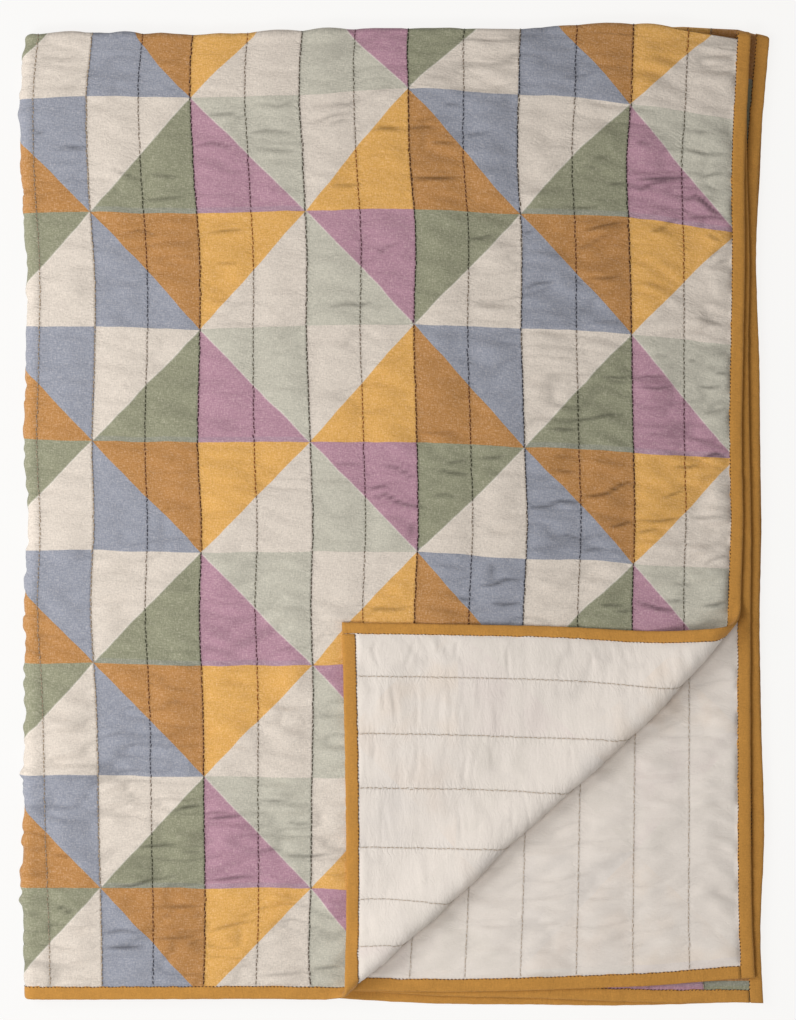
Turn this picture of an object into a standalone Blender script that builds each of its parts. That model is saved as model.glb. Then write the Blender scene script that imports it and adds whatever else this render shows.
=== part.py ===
"""Patchwork-print quilt folded in quarters, with one corner turned back. Metres, +Z up.

The quilt is laid out flat first, in its own directions: across its width, along its length
and up through its thickness, with the print on the upper face. It is then folded over at the
top, folded again at the left with the far half going under, and the corner of the first layer
is turned back over a soft roll. The four layers, from the top, are called first, second, third
and fourth. The binding is four strips round the edge, butted at the corners.
"""

from collections import namedtuple

import bmesh
import bpy
import numpy as np

# Flat quilt
HALF_WIDTH = 0.675
HALF_LENGTH = 0.900
CROWN = 0.0020  # half the thickness between two lines of stitching
SEWN = 0.0009  # half the thickness on a line of stitching
EDGE = 0.00075  # half the thickness inside the binding
SHOULDER = 0.010  # from a stitch line to the full thickness
STITCH_PITCH = 0.0496
STITCH_FIRST = 0.0234  # the first stitch line right of the left fold
STITCHES_EACH_WAY = 13
CLOTH_END = 0.0022  # from the rim of the binding to the end of the cloth in it

# Binding
BIND_WIDTH = 0.0120
BIND_HALF = 0.0019
BIND_INSIDE = 0.0011
BIND_ROUND = 0.0012
BIND_WALL = 0.0011
BIND_CAP = ((0, 1, 2, 3), (0, 3, 4), (0, 4, 5, 9), (5, 6, 9), (6, 7, 8, 9))  # faces of its end
BUTT_GAP = 0.0004
SEAM = BIND_WIDTH + 0.0005  # from the rim to where the thin edge starts

# Stack
LAYER_PITCH = 0.0050
TOP_RADIUS = LAYER_PITCH / 2
LEFT_RADIUS = LAYER_PITCH
TOP_ARC = 0.0039  # cloth on each side of the top fold that lies in its bend
LEFT_ARC = 0.0118
STACK_MIDDLE = CROWN + 1.5 * LAYER_PITCH
SHIFT = (0.00116, 0.00079)  # brings the middle of the footprint to the origin

# Long edges and the left fold by distance below the top fold, as positions to the right.
# Skew is where the left fold runs in the cloth, spread how far the second layer is drawn left.
Side = namedtuple("Side", "place left first second third fourth skew spread")
SIDES = [
    Side(0.000, -0.3445, 0.3280, 0.3270, 0.3460, 0.3450, 0.0080, 0.0000),
    Side(0.050, -0.3475, 0.3255, 0.3250, 0.3415, 0.3405, 0.0085, 0.0000),
    Side(0.110, -0.3480, 0.3225, 0.3245, 0.3365, 0.3380, 0.0085, 0.0000),
    Side(0.216, -0.3430, 0.3225, 0.3270, 0.3335, 0.3335, 0.0090, 0.0000),
    Side(0.295, -0.3445, 0.3210, 0.3260, 0.3360, 0.3365, 0.0095, 0.0000),
    Side(0.378, -0.3460, 0.3200, 0.3270, 0.3365, 0.3375, 0.0095, 0.0000),
    Side(0.466, -0.3410, 0.3225, 0.3285, 0.3370, 0.3385, 0.0095, 0.0000),
    Side(0.536, -0.3445, 0.3215, 0.3280, 0.3360, 0.3370, 0.0085, 0.0000),
    Side(0.619, -0.3435, 0.3205, 0.3280, 0.3370, 0.3380, 0.0055, 0.0010),
    Side(0.739, -0.3465, 0.3205, 0.3285, 0.3410, 0.3405, 0.0000, 0.0045),
    Side(0.841, -0.3460, 0.3205, 0.3300, 0.3375, 0.3370, -0.0040, 0.0110),
    Side(0.900, -0.3445, 0.3205, 0.3335, 0.3400, 0.3380, -0.0040, 0.0175),
]

# Top folds and foot edges by distance from the left fold, as positions towards the top.
# Skew is where the top fold of the upper pair runs in the cloth.
End = namedtuple("End", "place upper lower first second third fourth skew")
ENDS = [
    End(0.000, 0.4450, 0.4440, -0.4495, -0.4470, -0.4440, -0.4475, 0.0000),
    End(0.061, 0.4465, 0.4450, -0.4495, -0.4460, -0.4430, -0.4475, 0.0000),
    End(0.154, 0.4440, 0.4430, -0.4490, -0.4440, -0.4420, -0.4470, 0.0000),
    End(0.246, 0.4470, 0.4465, -0.4490, -0.4410, -0.4415, -0.4460, 0.0000),
    End(0.304, 0.4490, 0.4475, -0.4500, -0.4405, -0.4425, -0.4505, 0.0000),
    End(0.385, 0.4505, 0.4490, -0.4525, -0.4425, -0.4470, -0.4545, -0.0010),
    End(0.456, 0.4500, 0.4485, -0.4555, -0.4420, -0.4485, -0.4550, -0.0045),
    End(0.530, 0.4545, 0.4530, -0.4595, -0.4395, -0.4515, -0.4560, -0.0090),
    End(0.588, 0.4530, 0.4520, -0.4645, -0.4370, -0.4530, -0.4550, -0.0130),
    End(0.658, 0.4475, 0.4485, -0.4720, -0.4310, -0.4530, -0.4530, -0.0190),
    End(0.690, 0.4440, 0.4410, -0.4745, -0.4285, -0.4540, -0.4530, -0.0200),
]

# Turned corner: where its crease meets the side and the foot of the flat first layer
TURN_SIDE = 0.533
TURN_FOOT = 0.300
CORNER = (-0.0505, -0.1000)  # where the turned corner lies
CORNER_SIDE = (1.015, -0.017)  # way along the turned side, for each metre of cloth
CORNER_LEAN = 0.022  # how far the turned foot edge leans, for each metre along it
TURN_FADE = 0.070
SETTLE = 0.050  # from the roll to where the corner lies flat on the first layer

# Where lines along the quilt lie on the turned corner, by their distance from the side
Gather = namedtuple("Gather", "place lies")
GATHERS = [
    Gather(0.000, 0.0000),
    Gather(0.056, 0.0490),
    Gather(0.106, 0.1025),
    Gather(0.156, 0.1535),
    Gather(0.205, 0.2085),
    Gather(0.255, 0.2610),
    Gather(0.304, 0.3065),
    Gather(0.375, 0.3520),
]

# Roll of the turned corner, from the side to the foot: how far its crease bows towards the
# corner in the cloth, its radius, how far it bulges past that and how far it slides to the foot
Roll = namedtuple("Roll", "place bow radius out slide")
ROLLS = [
    Roll(0.00, 0.0000, 0.0110, -0.0040, 0.0000),
    Roll(0.10, 0.0012, 0.0105, 0.0020, 0.0000),
    Roll(0.20, 0.0030, 0.0095, 0.0065, 0.0000),
    Roll(0.40, 0.0056, 0.0085, 0.0050, 0.0045),
    Roll(0.55, 0.0090, 0.0080, -0.0020, 0.0128),
    Roll(0.70, 0.0100, 0.0080, -0.0026, 0.0180),
    Roll(0.85, 0.0075, 0.0080, -0.0035, 0.0090),
    Roll(1.00, 0.0000, 0.0080, 0.0000, 0.0000),
]
ROLL_CUTS = 12
SETTLE_CUTS = 6

# Points in the mesh: half of those round each fold, and rows by distance from the top fold
LEFT_FOLD_CUTS = 3
TOP_FOLD_CUTS = 2
NEAR_ROWS = (0.095, 0.190, 0.285, 0.380, 0.470, 0.560, 0.660, 0.770)
FAR_ROWS = (0.150, 0.290, 0.430, 0.570, 0.710)
SLOPE_STEP = 0.0002  # cloth on each side of a point that its slope is taken over


def on_curve(table, column, place):
    """Values of one column of a table at any places, on a smooth curve through its rows."""
    places = np.array([row.place for row in table])
    values = np.array([getattr(row, column) for row in table])
    slopes = np.gradient(values, places)
    i = np.clip(np.searchsorted(places, place) - 1, 0, len(places) - 2)
    step = places[i + 1] - places[i]
    s = np.clip((place - places[i]) / step, 0, 1)
    rise = s * s * (3 - 2 * s)
    bend = s * (1 - s)
    return (
        values[i] * (1 - rise)
        + values[i + 1] * rise
        + slopes[i] * step * bend * (1 - s)
        - slopes[i + 1] * step * bend * s
    )


def mix(a, b, share):
    return a + (b - a) * share


def folded(across, along):
    """Middle of the cloth after the top fold and the left fold, as x, y and z."""
    upper_half = np.clip(across / LEFT_ARC, 0, 1)
    past_top = along - on_curve(ENDS, "skew", np.abs(across)) * upper_half
    past_left = across - on_curve(SIDES, "skew", np.abs(past_top))
    turn = np.clip(past_left / LEFT_ARC, -1, 1) * np.pi / 2
    over = np.clip(past_top / TOP_ARC, -1, 1) * np.pi / 2
    above = (1 + np.sin(turn)) / 2
    outer = (1 + np.sin(over)) / 2
    down, out = np.abs(past_top), np.abs(past_left)

    side = mix(
        mix(on_curve(SIDES, "third", down), on_curve(SIDES, "fourth", down), outer),
        mix(on_curve(SIDES, "second", down), on_curve(SIDES, "first", down), outer),
        above,
    )
    foot = mix(
        mix(on_curve(ENDS, "third", out), on_curve(ENDS, "fourth", out), outer),
        mix(on_curve(ENDS, "second", out), on_curve(ENDS, "first", out), outer),
        above,
    )
    radius = LEFT_RADIUS + TOP_RADIUS * np.sin(over)
    left = on_curve(SIDES, "left", down) + LEFT_RADIUS + TOP_RADIUS + CROWN
    top = mix(on_curve(ENDS, "lower", out), on_curve(ENDS, "upper", out), above)
    top = top - TOP_RADIUS - CROWN

    share_out = np.maximum(out - LEFT_ARC, 0) / (HALF_WIDTH + out - np.abs(across) - LEFT_ARC)
    share_down = np.maximum(down - TOP_ARC, 0) / (HALF_LENGTH + down - np.abs(along) - TOP_ARC)
    drawn = on_curve(SIDES, "spread", down) * np.sin(np.pi * share_out) * above * (1 - outer)
    x = left - radius * np.cos(turn) + share_out * (side - left) - drawn
    y = top + TOP_RADIUS * np.cos(over) - share_down * (top - foot)
    z = STACK_MIDDLE + radius * np.sin(turn)
    return x, y, z


def turned(across, along, x, y, z):
    """Middle of the cloth with the corner of the first layer turned back over its roll."""
    side_end = np.array([HALF_WIDTH, TURN_SIDE])
    foot_end = np.array([TURN_FOOT, HALF_LENGTH])
    crease = foot_end - side_end
    length = np.hypot(*crease)
    way = crease / length
    place = ((across - side_end[0]) * way[0] + (along - side_end[1]) * way[1]) / length
    bow = on_curve(ROLLS, "bow", place)
    past = (across - side_end[0]) * way[1] - (along - side_end[1]) * way[0] - bow

    on_crease = side_end[:, None] + crease[:, None] * place
    on_crease = on_crease + np.array([[way[1]], [-way[0]]]) * bow
    crease_x, crease_y, _ = folded(*on_crease)
    flap_x, flap_y = corner_plan(across, along)
    base_x, base_y = corner_plan(*on_crease)
    ends_x, ends_y, _ = folded(*np.array([side_end, foot_end]).T)
    along_x, along_y = ends_x[1] - ends_x[0], ends_y[1] - ends_y[0]
    apart = np.hypot(along_x, along_y)
    along_x, along_y = along_x / apart, along_y / apart

    radius = on_curve(ROLLS, "radius", place)
    round_ = past + radius * np.pi / 2
    bend = np.clip(round_ / radius, 0, np.pi)
    beyond = np.maximum(round_ - np.pi * radius, 0)
    before = np.maximum(-round_, 0)
    fade = np.exp(-((beyond / TURN_FADE) ** 2))
    share = bend / np.pi
    near = fade * np.exp(-((before / TURN_FADE) ** 2))
    slide = on_curve(ROLLS, "slide", place) * near
    push = on_curve(ROLLS, "out", place) * near
    push = push - radius * (2 * bend * (1 - share) - np.sin(bend))

    new_x = mix(x, flap_x + (crease_x - base_x) * fade, share)
    new_x = new_x + slide * along_x - push * along_y
    new_y = mix(y, flap_y + (crease_y - base_y) * fade, share)
    new_y = new_y + slide * along_y + push * along_x
    settled = np.clip(beyond / SETTLE, 0, 1)
    settled = settled * settled * (3 - 2 * settled)
    lift = mix(radius * (1 - np.cos(bend)), LAYER_PITCH, settled)
    corner = (across > LEFT_ARC) & (along > TOP_ARC)
    return (
        np.where(corner, new_x, x),
        np.where(corner, new_y, y),
        np.where(corner & (round_ > 0), z + lift, z),
    )


def corner_plan(across, along):
    """Where cloth of the turned corner lies, seen from above."""
    from_foot = HALF_LENGTH - along
    from_side = on_curve(GATHERS, "lies", HALF_WIDTH - across)
    x = CORNER[0] + from_foot * CORNER_SIDE[0] + from_side * CORNER_LEAN
    y = CORNER[1] + from_foot * CORNER_SIDE[1] - from_side
    return x, y


def middle(across, along):
    """Middle of the cloth in the folded quilt, as rows of points."""
    x, y, z = turned(across, along, *folded(across, along))
    return np.stack([x + SHIFT[0], y + SHIFT[1], z], axis=1)


def fold_points(points):
    """Points of the flat quilt, as across, along and up, moved to the folded quilt."""
    across, along, up = points.T
    by_across = middle(across + SLOPE_STEP, along) - middle(across - SLOPE_STEP, along)
    by_along = middle(across, along + SLOPE_STEP) - middle(across, along - SLOPE_STEP)
    face = np.cross(by_along, by_across)
    face /= np.linalg.norm(face, axis=1)[:, None]
    return middle(across, along) + face * up[:, None]


def stitch_lines():
    """Places across the width where a line of stitching runs."""
    steps = range(-STITCHES_EACH_WAY, STITCHES_EACH_WAY)
    return [STITCH_FIRST + STITCH_PITCH * k for k in steps]


def half_thickness(across, along):
    """Half the thickness of the padded cloth at a place."""
    to_stitch = min(abs(across - line) for line in stitch_lines())
    rise = min(to_stitch / SHOULDER, 1)
    half = SEWN + (CROWN - SEWN) * rise * (2 - rise)
    to_rim = min(HALF_WIDTH - abs(across), HALF_LENGTH - abs(along))
    inside = min(max((to_rim - SEAM) / SHOULDER, 0), 1)
    return EDGE + (half - EDGE) * inside


def round_fold(fold, arc, cuts):
    """Places of the points that one fold bends through."""
    return [fold + arc * k / cuts for k in range(-cuts, cuts + 1)]


def cloth_columns(along):
    """Places across the width that carry points, with the bend of the left fold among them."""
    edge = HALF_WIDTH - CLOTH_END
    seam = HALF_WIDTH - SEAM
    fold = float(on_curve(SIDES, "skew", abs(along)))
    columns = [-edge, -seam, SHOULDER - seam, seam - SHOULDER, seam, edge]
    columns += round_fold(fold, LEFT_ARC, LEFT_FOLD_CUTS)
    for line in stitch_lines():
        columns.append(line)
        for shoulder in (line - SHOULDER, line + SHOULDER):
            if abs(shoulder) > STITCH_PITCH / 2:
                columns.append(shoulder)
    return sorted(columns)


def cloth_rows(across):
    """Places along the length that carry points, with the bend of the top fold among them."""
    ends = (HALF_LENGTH - CLOTH_END, HALF_LENGTH - SEAM, HALF_LENGTH - SEAM - SHOULDER)
    fold = float(on_curve(ENDS, "skew", across)) if across > 0 else 0
    rows = round_fold(fold, TOP_ARC, TOP_FOLD_CUTS)
    rows += list(NEAR_ROWS) + list(ends)
    rows += [-row for row in FAR_ROWS + ends]
    return sorted(rows)


def flat_cloth():
    """The whole quilt laid flat: two faces with sewn channels, closed round the edge."""
    mesh = bmesh.new()
    across = [cloth_columns(along) for along in cloth_rows(0)]
    along = [cloth_rows(place) for place in cloth_columns(0)]
    last_row, last = len(across) - 1, len(along) - 1
    faces = []
    for side in (1, -1):
        grid = [[(across[j][i], along[i][j]) for i in range(last + 1)] for j in range(last_row + 1)]
        faces.append(
            [[mesh.verts.new((a, b, side * half_thickness(a, b))) for a, b in row] for row in grid]
        )
    upper, lower = faces
    for j in range(last_row):
        for i in range(last):
            mesh.faces.new((upper[j][i], upper[j][i + 1], upper[j + 1][i + 1], upper[j + 1][i]))
            mesh.faces.new((lower[j][i], lower[j + 1][i], lower[j + 1][i + 1], lower[j][i + 1]))
    rim = [(j, 0) for j in range(last_row)] + [(last_row, i) for i in range(last)]
    rim += [(j, last) for j in range(last_row, 0, -1)] + [(0, i) for i in range(last, 0, -1)]
    for (j, i), (next_j, next_i) in zip(rim, rim[1:] + rim[:1]):
        mesh.faces.new((upper[j][i], upper[next_j][next_i], lower[next_j][next_i], lower[j][i]))
    return mesh


def binding_profile():
    """Section of a binding strip, as distance in from the rim and height."""
    outer = [(BIND_WIDTH, BIND_HALF), (BIND_ROUND, BIND_HALF), (0, BIND_HALF - BIND_ROUND)]
    inner = [(BIND_WALL, BIND_INSIDE), (BIND_WIDTH, BIND_INSIDE)]
    half = inner + outer
    return half + [(inwards, -height) for inwards, height in reversed(half)]


def flat_strip(places, end_of):
    """One binding strip laid flat along the edge of the quilt, through the places given."""
    mesh = bmesh.new()
    profile = binding_profile()
    loops = [[mesh.verts.new(end_of(p, inwards, height)) for inwards, height in profile] for p in places]
    count = len(profile)
    for near, far in zip(loops, loops[1:]):
        for i in range(count):
            j = (i + 1) % count
            mesh.faces.new((near[i], near[j], far[j], far[i]))
    for corners in BIND_CAP:
        mesh.faces.new([loops[0][i] for i in reversed(corners)])
        mesh.faces.new([loops[-1][i] for i in corners])
    return mesh


def side_strip(side):
    """Strip on one long edge, over the top fold and right out to both corners."""
    places = [p for p in cloth_rows(side * HALF_WIDTH) if abs(p) < HALF_LENGTH - SEAM]
    places = [-HALF_LENGTH] + places + [HALF_LENGTH]
    return flat_strip(places, lambda p, i, h: (side * (HALF_WIDTH - i), p, h))


def end_strip(end):
    """Strip on one short edge, round the left fold, butted against the side strips."""
    fold = float(on_curve(SIDES, "skew", HALF_LENGTH))
    places = stitch_lines() + round_fold(fold, LEFT_ARC, LEFT_FOLD_CUTS)
    reach = HALF_WIDTH - BIND_WIDTH - BUTT_GAP
    places = [-reach] + sorted(places) + [reach]
    return flat_strip(places, lambda p, i, h: (p, end * (HALF_LENGTH - i), h))


def cut_for_roll(mesh):
    """Lines of points along the roll of the turned corner, so that it can bend there."""
    side_end = np.array([HALF_WIDTH, TURN_SIDE])
    way = np.array([TURN_FOOT, HALF_LENGTH]) - side_end
    way /= np.hypot(*way)
    start = -max(row.radius for row in ROLLS) * np.pi / 2
    end = max(row.radius * np.pi / 2 + row.bow for row in ROLLS)
    settled = np.linspace(end, end + SETTLE, SETTLE_CUTS + 1)[1:]
    for past in [*np.linspace(start, end, ROLL_CUTS), *settled]:
        spot = side_end + past * np.array([way[1], -way[0]])
        bmesh.ops.bisect_plane(
            mesh,
            geom=mesh.verts[:] + mesh.edges[:] + mesh.faces[:],
            plane_co=(spot[0], spot[1], 0),
            plane_no=(way[1], -way[0], 0),
            dist=1e-6,
        )


def folded_object(name, mesh, finish, has_corner):
    """The flat mesh folded, with its faces outwards, as an object of the scene."""
    if has_corner:
        cut_for_roll(mesh)
    bmesh.ops.triangulate(mesh, faces=mesh.faces[:])
    points = fold_points(np.array([vert.co for vert in mesh.verts]))
    for vert, point in zip(mesh.verts, points):
        vert.co = point
    if mesh.calc_volume(signed=True) < 0:
        bmesh.ops.reverse_faces(mesh, faces=mesh.faces)
    data = bpy.data.meshes.new(name)
    mesh.to_mesh(data)
    mesh.free()
    data.materials.append(finish)
    piece = bpy.data.objects.new(name, data)
    bpy.context.scene.collection.objects.link(piece)
    return piece


def cloth_material(name, colour):
    """Plain washed cotton."""
    material = bpy.data.materials.new(name)
    material.use_nodes = True
    shader = material.node_tree.nodes["Principled BSDF"]
    shader.inputs["Base Color"].default_value = (*colour, 1)
    shader.inputs["Roughness"].default_value = 0.9
    shader.inputs["Metallic"].default_value = 0.0
    return material


def clear_scene():
    for thing in list(bpy.data.objects):
        bpy.data.objects.remove(thing)


def main():
    clear_scene()
    cotton = cloth_material("quilt_cotton", (0.62, 0.54, 0.45))
    mustard = cloth_material("binding_cotton", (0.48, 0.25, 0.05))
    folded_object("quilt", flat_cloth(), cotton, True)
    folded_object("binding_side_right", side_strip(1), mustard, True)
    folded_object("binding_side_left", side_strip(-1), mustard, False)
    folded_object("binding_end_outer", end_strip(1), mustard, True)
    folded_object("binding_end_inner", end_strip(-1), mustard, False)


main()
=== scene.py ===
"""Looks of the folded patchwork-print quilt, laid out as a Blender add-on. Metres, +Z up.

The quilt is two cloths, the printed face and the plain back, quilted together in channels and
bound in mustard. Both are made from a flat grid, in the quilt's own directions (across its width
and along its length), and folded as the solids are: over at the top, under at the left, and one
corner turned back over a soft roll.
"""

from collections import namedtuple

import bpy
import numpy as np
from bpy.props import FloatProperty, FloatVectorProperty, IntProperty, PointerProperty
from bpy.types import Operator, Panel, PropertyGroup
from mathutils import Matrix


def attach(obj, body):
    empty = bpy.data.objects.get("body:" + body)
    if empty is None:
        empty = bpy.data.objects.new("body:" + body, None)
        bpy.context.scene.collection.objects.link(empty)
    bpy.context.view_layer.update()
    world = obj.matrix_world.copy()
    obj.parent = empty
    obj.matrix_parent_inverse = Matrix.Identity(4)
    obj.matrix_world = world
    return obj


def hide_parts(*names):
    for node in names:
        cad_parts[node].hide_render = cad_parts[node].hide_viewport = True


bl_info = {
    "name": "Folded patchwork-print quilt",
    "version": (1, 0, 0),
    "blender": (4, 5, 0),
    "location": "View3D > Sidebar > Quilt",
    "description": "Builds the cloths, quilting, binding and stage of a folded quilt",
    "category": "Object",
}

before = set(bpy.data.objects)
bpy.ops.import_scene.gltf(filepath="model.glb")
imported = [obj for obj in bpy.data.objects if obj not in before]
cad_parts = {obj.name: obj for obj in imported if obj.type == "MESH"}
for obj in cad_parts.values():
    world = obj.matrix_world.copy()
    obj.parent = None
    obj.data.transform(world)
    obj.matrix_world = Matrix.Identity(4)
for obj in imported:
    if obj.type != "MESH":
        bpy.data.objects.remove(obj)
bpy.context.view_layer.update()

# Flat quilt
HALF_WIDTH = 0.675
HALF_LENGTH = 0.900
CROWN = 0.0020  # half the thickness between two lines of quilting
SEWN = 0.0009  # half the thickness on a line of quilting
EDGE = 0.00075
STITCH_PITCH = 0.0496
SHOULDER = STITCH_PITCH / 2
RIM_SHOULDER = 0.006
STITCH_FIRST = 0.0234
STITCHES_EACH_WAY = 13
CLOTH_END = 0.0022  # from the rim to the end of the cloth, inside the binding
LEAST_STEP = 0.0004  # between two rows or columns of a cloth's grid

# Crinkles: lumps by their size across and along the cloth, seed and strength
Lumps = namedtuple("Lumps", "cell seed strength")
DRIFT = Lumps((0.048, 0.055), 3, 0.022)
BROAD = Lumps((0.045, 0.016), 5, 0.85)
SMALL = Lumps((0.017, 0.0075), 7, 0.65)
GATHERED = Lumps((0.024, 0.0064), 8, 0.40)
SHARP = Lumps((0.036, 0.0115), 4, 0.60)
PATCHY = Lumps((0.060, 0.045), 6, 1.6)
ON_AVERAGE = 0.22
RIGHT_CRINKLES = 0.8  # how much stronger they are at the right
RIGHT_FROM, RIGHT_FADE = 0.30, 0.20
FOOT_CRINKLES = 0.9  # and towards the foot
FOOT_FROM, FOOT_FADE = 0.40, 0.25
AT_STITCHES = 0.45  # how much of them is left on a line of quilting
HIDDEN_CRINKLES = 0.3  # and where another layer covers them
SECOND_CRINKLES = 0.75  # on the plain back of the second layer, as a share of the print's
# Share of painted shade along the sharp crinkle lines
CRINKLE_SHADE = 0.20
LEAST_UP = 0.0003  # how near the two cloths come in a crease
SOFT_UP = 0.0004

# Main creases, in their own width: shoulder beside the trough, and how narrow the line of painted shade
# at their bottom is
CREASE_REACH = 5
SHOULDER_AT = 2.0
SHOULDER_HEIGHT = 0.55
LINE_NARROW = 1.2
END_TAPER = 0.7

# Binding
BIND_WIDTH = 0.0120
BIND_HALF = 0.0019
BIND_INSIDE = 0.0011
BUTT_GAP = 0.0004
SEAM = BIND_WIDTH + 0.0005
BIND_STEP = 0.003
BIND_WALL = 0.0011  # from the rim to the inside of the strip
BIND_WANDER = 0.00012
SEAM_WANDER = 0.00040
BIND_SWELL = 0.12
SEAM_TICK = 0.0034  # from one binding stitch to the next
SEAM_LENGTH = 0.55  # share of a tick
SEAM_SLANT = 0.0007
SEAM_IN = -0.0001
SEAM_WIDTH = 0.0009
SEAM_HEIGHT = 0.92  # share of the strip's half height

# Section of a binding strip's outside, as distance in from the rim and share of its half height
BindPoint = namedtuple("BindPoint", "inwards height")
BIND_FACE = [
    BindPoint(BIND_WIDTH, 0.72),
    BindPoint(0.0114, 0.86),
    BindPoint(0.0100, 0.96),
    BindPoint(0.0075, 1.00),
    BindPoint(0.0045, 1.00),
    BindPoint(0.0026, 0.96),
    BindPoint(0.0014, 0.82),
    BindPoint(0.0006, 0.58),
    BindPoint(0.0001, 0.25),
]

# Surface of all the cloth and thread
CLOTH_FINISH = {
    "Roughness": 0.9,
    "Specular IOR Level": 0.2,
    "Sheen Weight": 0.12,
    "Sheen Roughness": 0.5,
}

# Weave: length of a slub in its own widths, size of a fleck, and where undyed yarns show
YARN_LONG = 9
FLECK = 2.2
PALE_FROM, PALE_FULL = -0.10, 0.40

# Fine puckers at the lines of quilting, as sizes across and along the cloth
PUCKER_SWAY = (0.018, 0.030)
PUCKER_DRIFT = 0.012
PUCKER_CELL = (0.011, 0.0042)
PUCKER_REACH = 0.009
PUCKER_REST = 0.4  # how much of them is left between the lines
PUCKER_ROUND = 0.7

# Shade beside a line of quilting: from and to which distance, and how dark
Ditch = namedtuple("Ditch", "near far dark")
PRINT_DITCH = Ditch(0.0003, 0.0024, -0.26)
BACK_DITCH = Ditch(0.0003, 0.0018, -0.14)

# Plain back, against the printed face (its painted crease shade too), and where the print shows through
# it
BACK_SLUB, BACK_PUCKERS, BACK_CREASE_SHADE = 0.18, 0.6, 0.4
GHOST_CELL = (0.030, 0.030)
GHOST_FROM, GHOST_FULL = 0.35, 0.70

# Cotton of the binding
BINDING_SLUB = 0.8
BINDING_CELL = (0.010, 0.030)
BINDING_UNEVEN = 0.30
PINCH_CELL = (0.012, 0.0045)
PINCH_DEPTH = 0.0004

# Stitches: places along a stitch and share of its width there
STITCH_SECTIONS = ((0.0, 0.0), (0.22, 0.9), (0.78, 0.9), (1.0, 0.0))
STITCH_LIFT = 0.6
STITCH_UP = 0.0002
STITCH_SWAY = 0.00035
STITCH_STRAY = 0.0002
BORDER_LONG, BETWEEN_LONG = 1.35, 1.25  # share of the set length, on borders and between them
BORDER_WIDE, BETWEEN_WIDE, BACK_WIDE = 1.7, 1.4, 0.8
# strength of the painted shade in the thread and ditch of a line of quilting
BORDER_SHADE, BETWEEN_SHADE = 1.0, 0.62  # how dark a line of quilting is in the print
PALE_TO = 0.080  # how far from the left fold the quilting thread is pale
PALE_FADE = 0.02
PALE_SHARE = 0.65
DARK_SHARE = 0.15  # of the thread's own colour on the print
# how far painted shade of the needle holes darkens the print's colour in the thread
SHADE_TIMES, SHADE_PLUS = -0.72, 0.06
THREAD_CELL = (0.0012, 0.0030)
THREAD_UNEVEN = 0.8
THREAD_RELIEF = 0.0003

# Fine grids are only where the cloth shows
BACK_ACROSS = 0.25  # the plain back shows from here to the right edge
BACK_ALONG = 0.39  # and from this distance to the foot
RIM_FINE = 0.008
RIM_STEPS = (0.006, 0.003)
LEFT_RIM, LEFT_RIM_STEP = 0.012, 0.004
PLAIN_ROW = 0.03

# Stack
LAYER_PITCH = 0.0050
TOP_RADIUS = LAYER_PITCH / 2
LEFT_RADIUS = LAYER_PITCH
TOP_ARC = 0.0039
LEFT_ARC = 0.0118
STACK_MIDDLE = CROWN + 1.5 * LAYER_PITCH
SHIFT = (0.00116, 0.00079)

# Long edges and the left fold by distance below the top fold, as positions to the right.
# Skew is where the left fold runs in the cloth, spread how far the second layer is drawn left.
Side = namedtuple("Side", "place left first second third fourth skew spread")
SIDES = [
    Side(0.000, -0.3445, 0.3280, 0.3270, 0.3460, 0.3450, 0.0080, 0.0000),
    Side(0.050, -0.3475, 0.3255, 0.3250, 0.3415, 0.3405, 0.0085, 0.0000),
    Side(0.110, -0.3480, 0.3225, 0.3245, 0.3365, 0.3380, 0.0085, 0.0000),
    Side(0.216, -0.3430, 0.3225, 0.3270, 0.3335, 0.3335, 0.0090, 0.0000),
    Side(0.295, -0.3445, 0.3210, 0.3260, 0.3360, 0.3365, 0.0095, 0.0000),
    Side(0.378, -0.3460, 0.3200, 0.3270, 0.3365, 0.3375, 0.0095, 0.0000),
    Side(0.466, -0.3410, 0.3225, 0.3285, 0.3370, 0.3385, 0.0095, 0.0000),
    Side(0.536, -0.3445, 0.3215, 0.3280, 0.3360, 0.3370, 0.0085, 0.0000),
    Side(0.619, -0.3435, 0.3205, 0.3280, 0.3370, 0.3380, 0.0055, 0.0010),
    Side(0.739, -0.3465, 0.3205, 0.3285, 0.3410, 0.3405, 0.0000, 0.0045),
    Side(0.841, -0.3460, 0.3205, 0.3300, 0.3375, 0.3370, -0.0040, 0.0110),
    Side(0.900, -0.3445, 0.3205, 0.3335, 0.3400, 0.3380, -0.0040, 0.0175),
]

# Top folds and foot edges by distance from the left fold, as positions towards the top.
# Skew is where the top fold of the upper pair runs in the cloth.
End = namedtuple("End", "place upper lower first second third fourth skew")
ENDS = [
    End(0.000, 0.4450, 0.4440, -0.4495, -0.4470, -0.4440, -0.4475, 0.0000),
    End(0.061, 0.4465, 0.4450, -0.4495, -0.4460, -0.4430, -0.4475, 0.0000),
    End(0.154, 0.4440, 0.4430, -0.4490, -0.4440, -0.4420, -0.4470, 0.0000),
    End(0.246, 0.4470, 0.4465, -0.4490, -0.4410, -0.4415, -0.4460, 0.0000),
    End(0.304, 0.4490, 0.4475, -0.4500, -0.4405, -0.4425, -0.4505, 0.0000),
    End(0.385, 0.4505, 0.4490, -0.4525, -0.4425, -0.4470, -0.4545, -0.0010),
    End(0.456, 0.4500, 0.4485, -0.4555, -0.4420, -0.4485, -0.4550, -0.0045),
    End(0.530, 0.4545, 0.4530, -0.4595, -0.4395, -0.4515, -0.4560, -0.0090),
    End(0.588, 0.4530, 0.4520, -0.4645, -0.4370, -0.4530, -0.4550, -0.0130),
    End(0.658, 0.4475, 0.4485, -0.4720, -0.4310, -0.4530, -0.4530, -0.0190),
    End(0.690, 0.4440, 0.4410, -0.4745, -0.4285, -0.4540, -0.4530, -0.0200),
]

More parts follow.
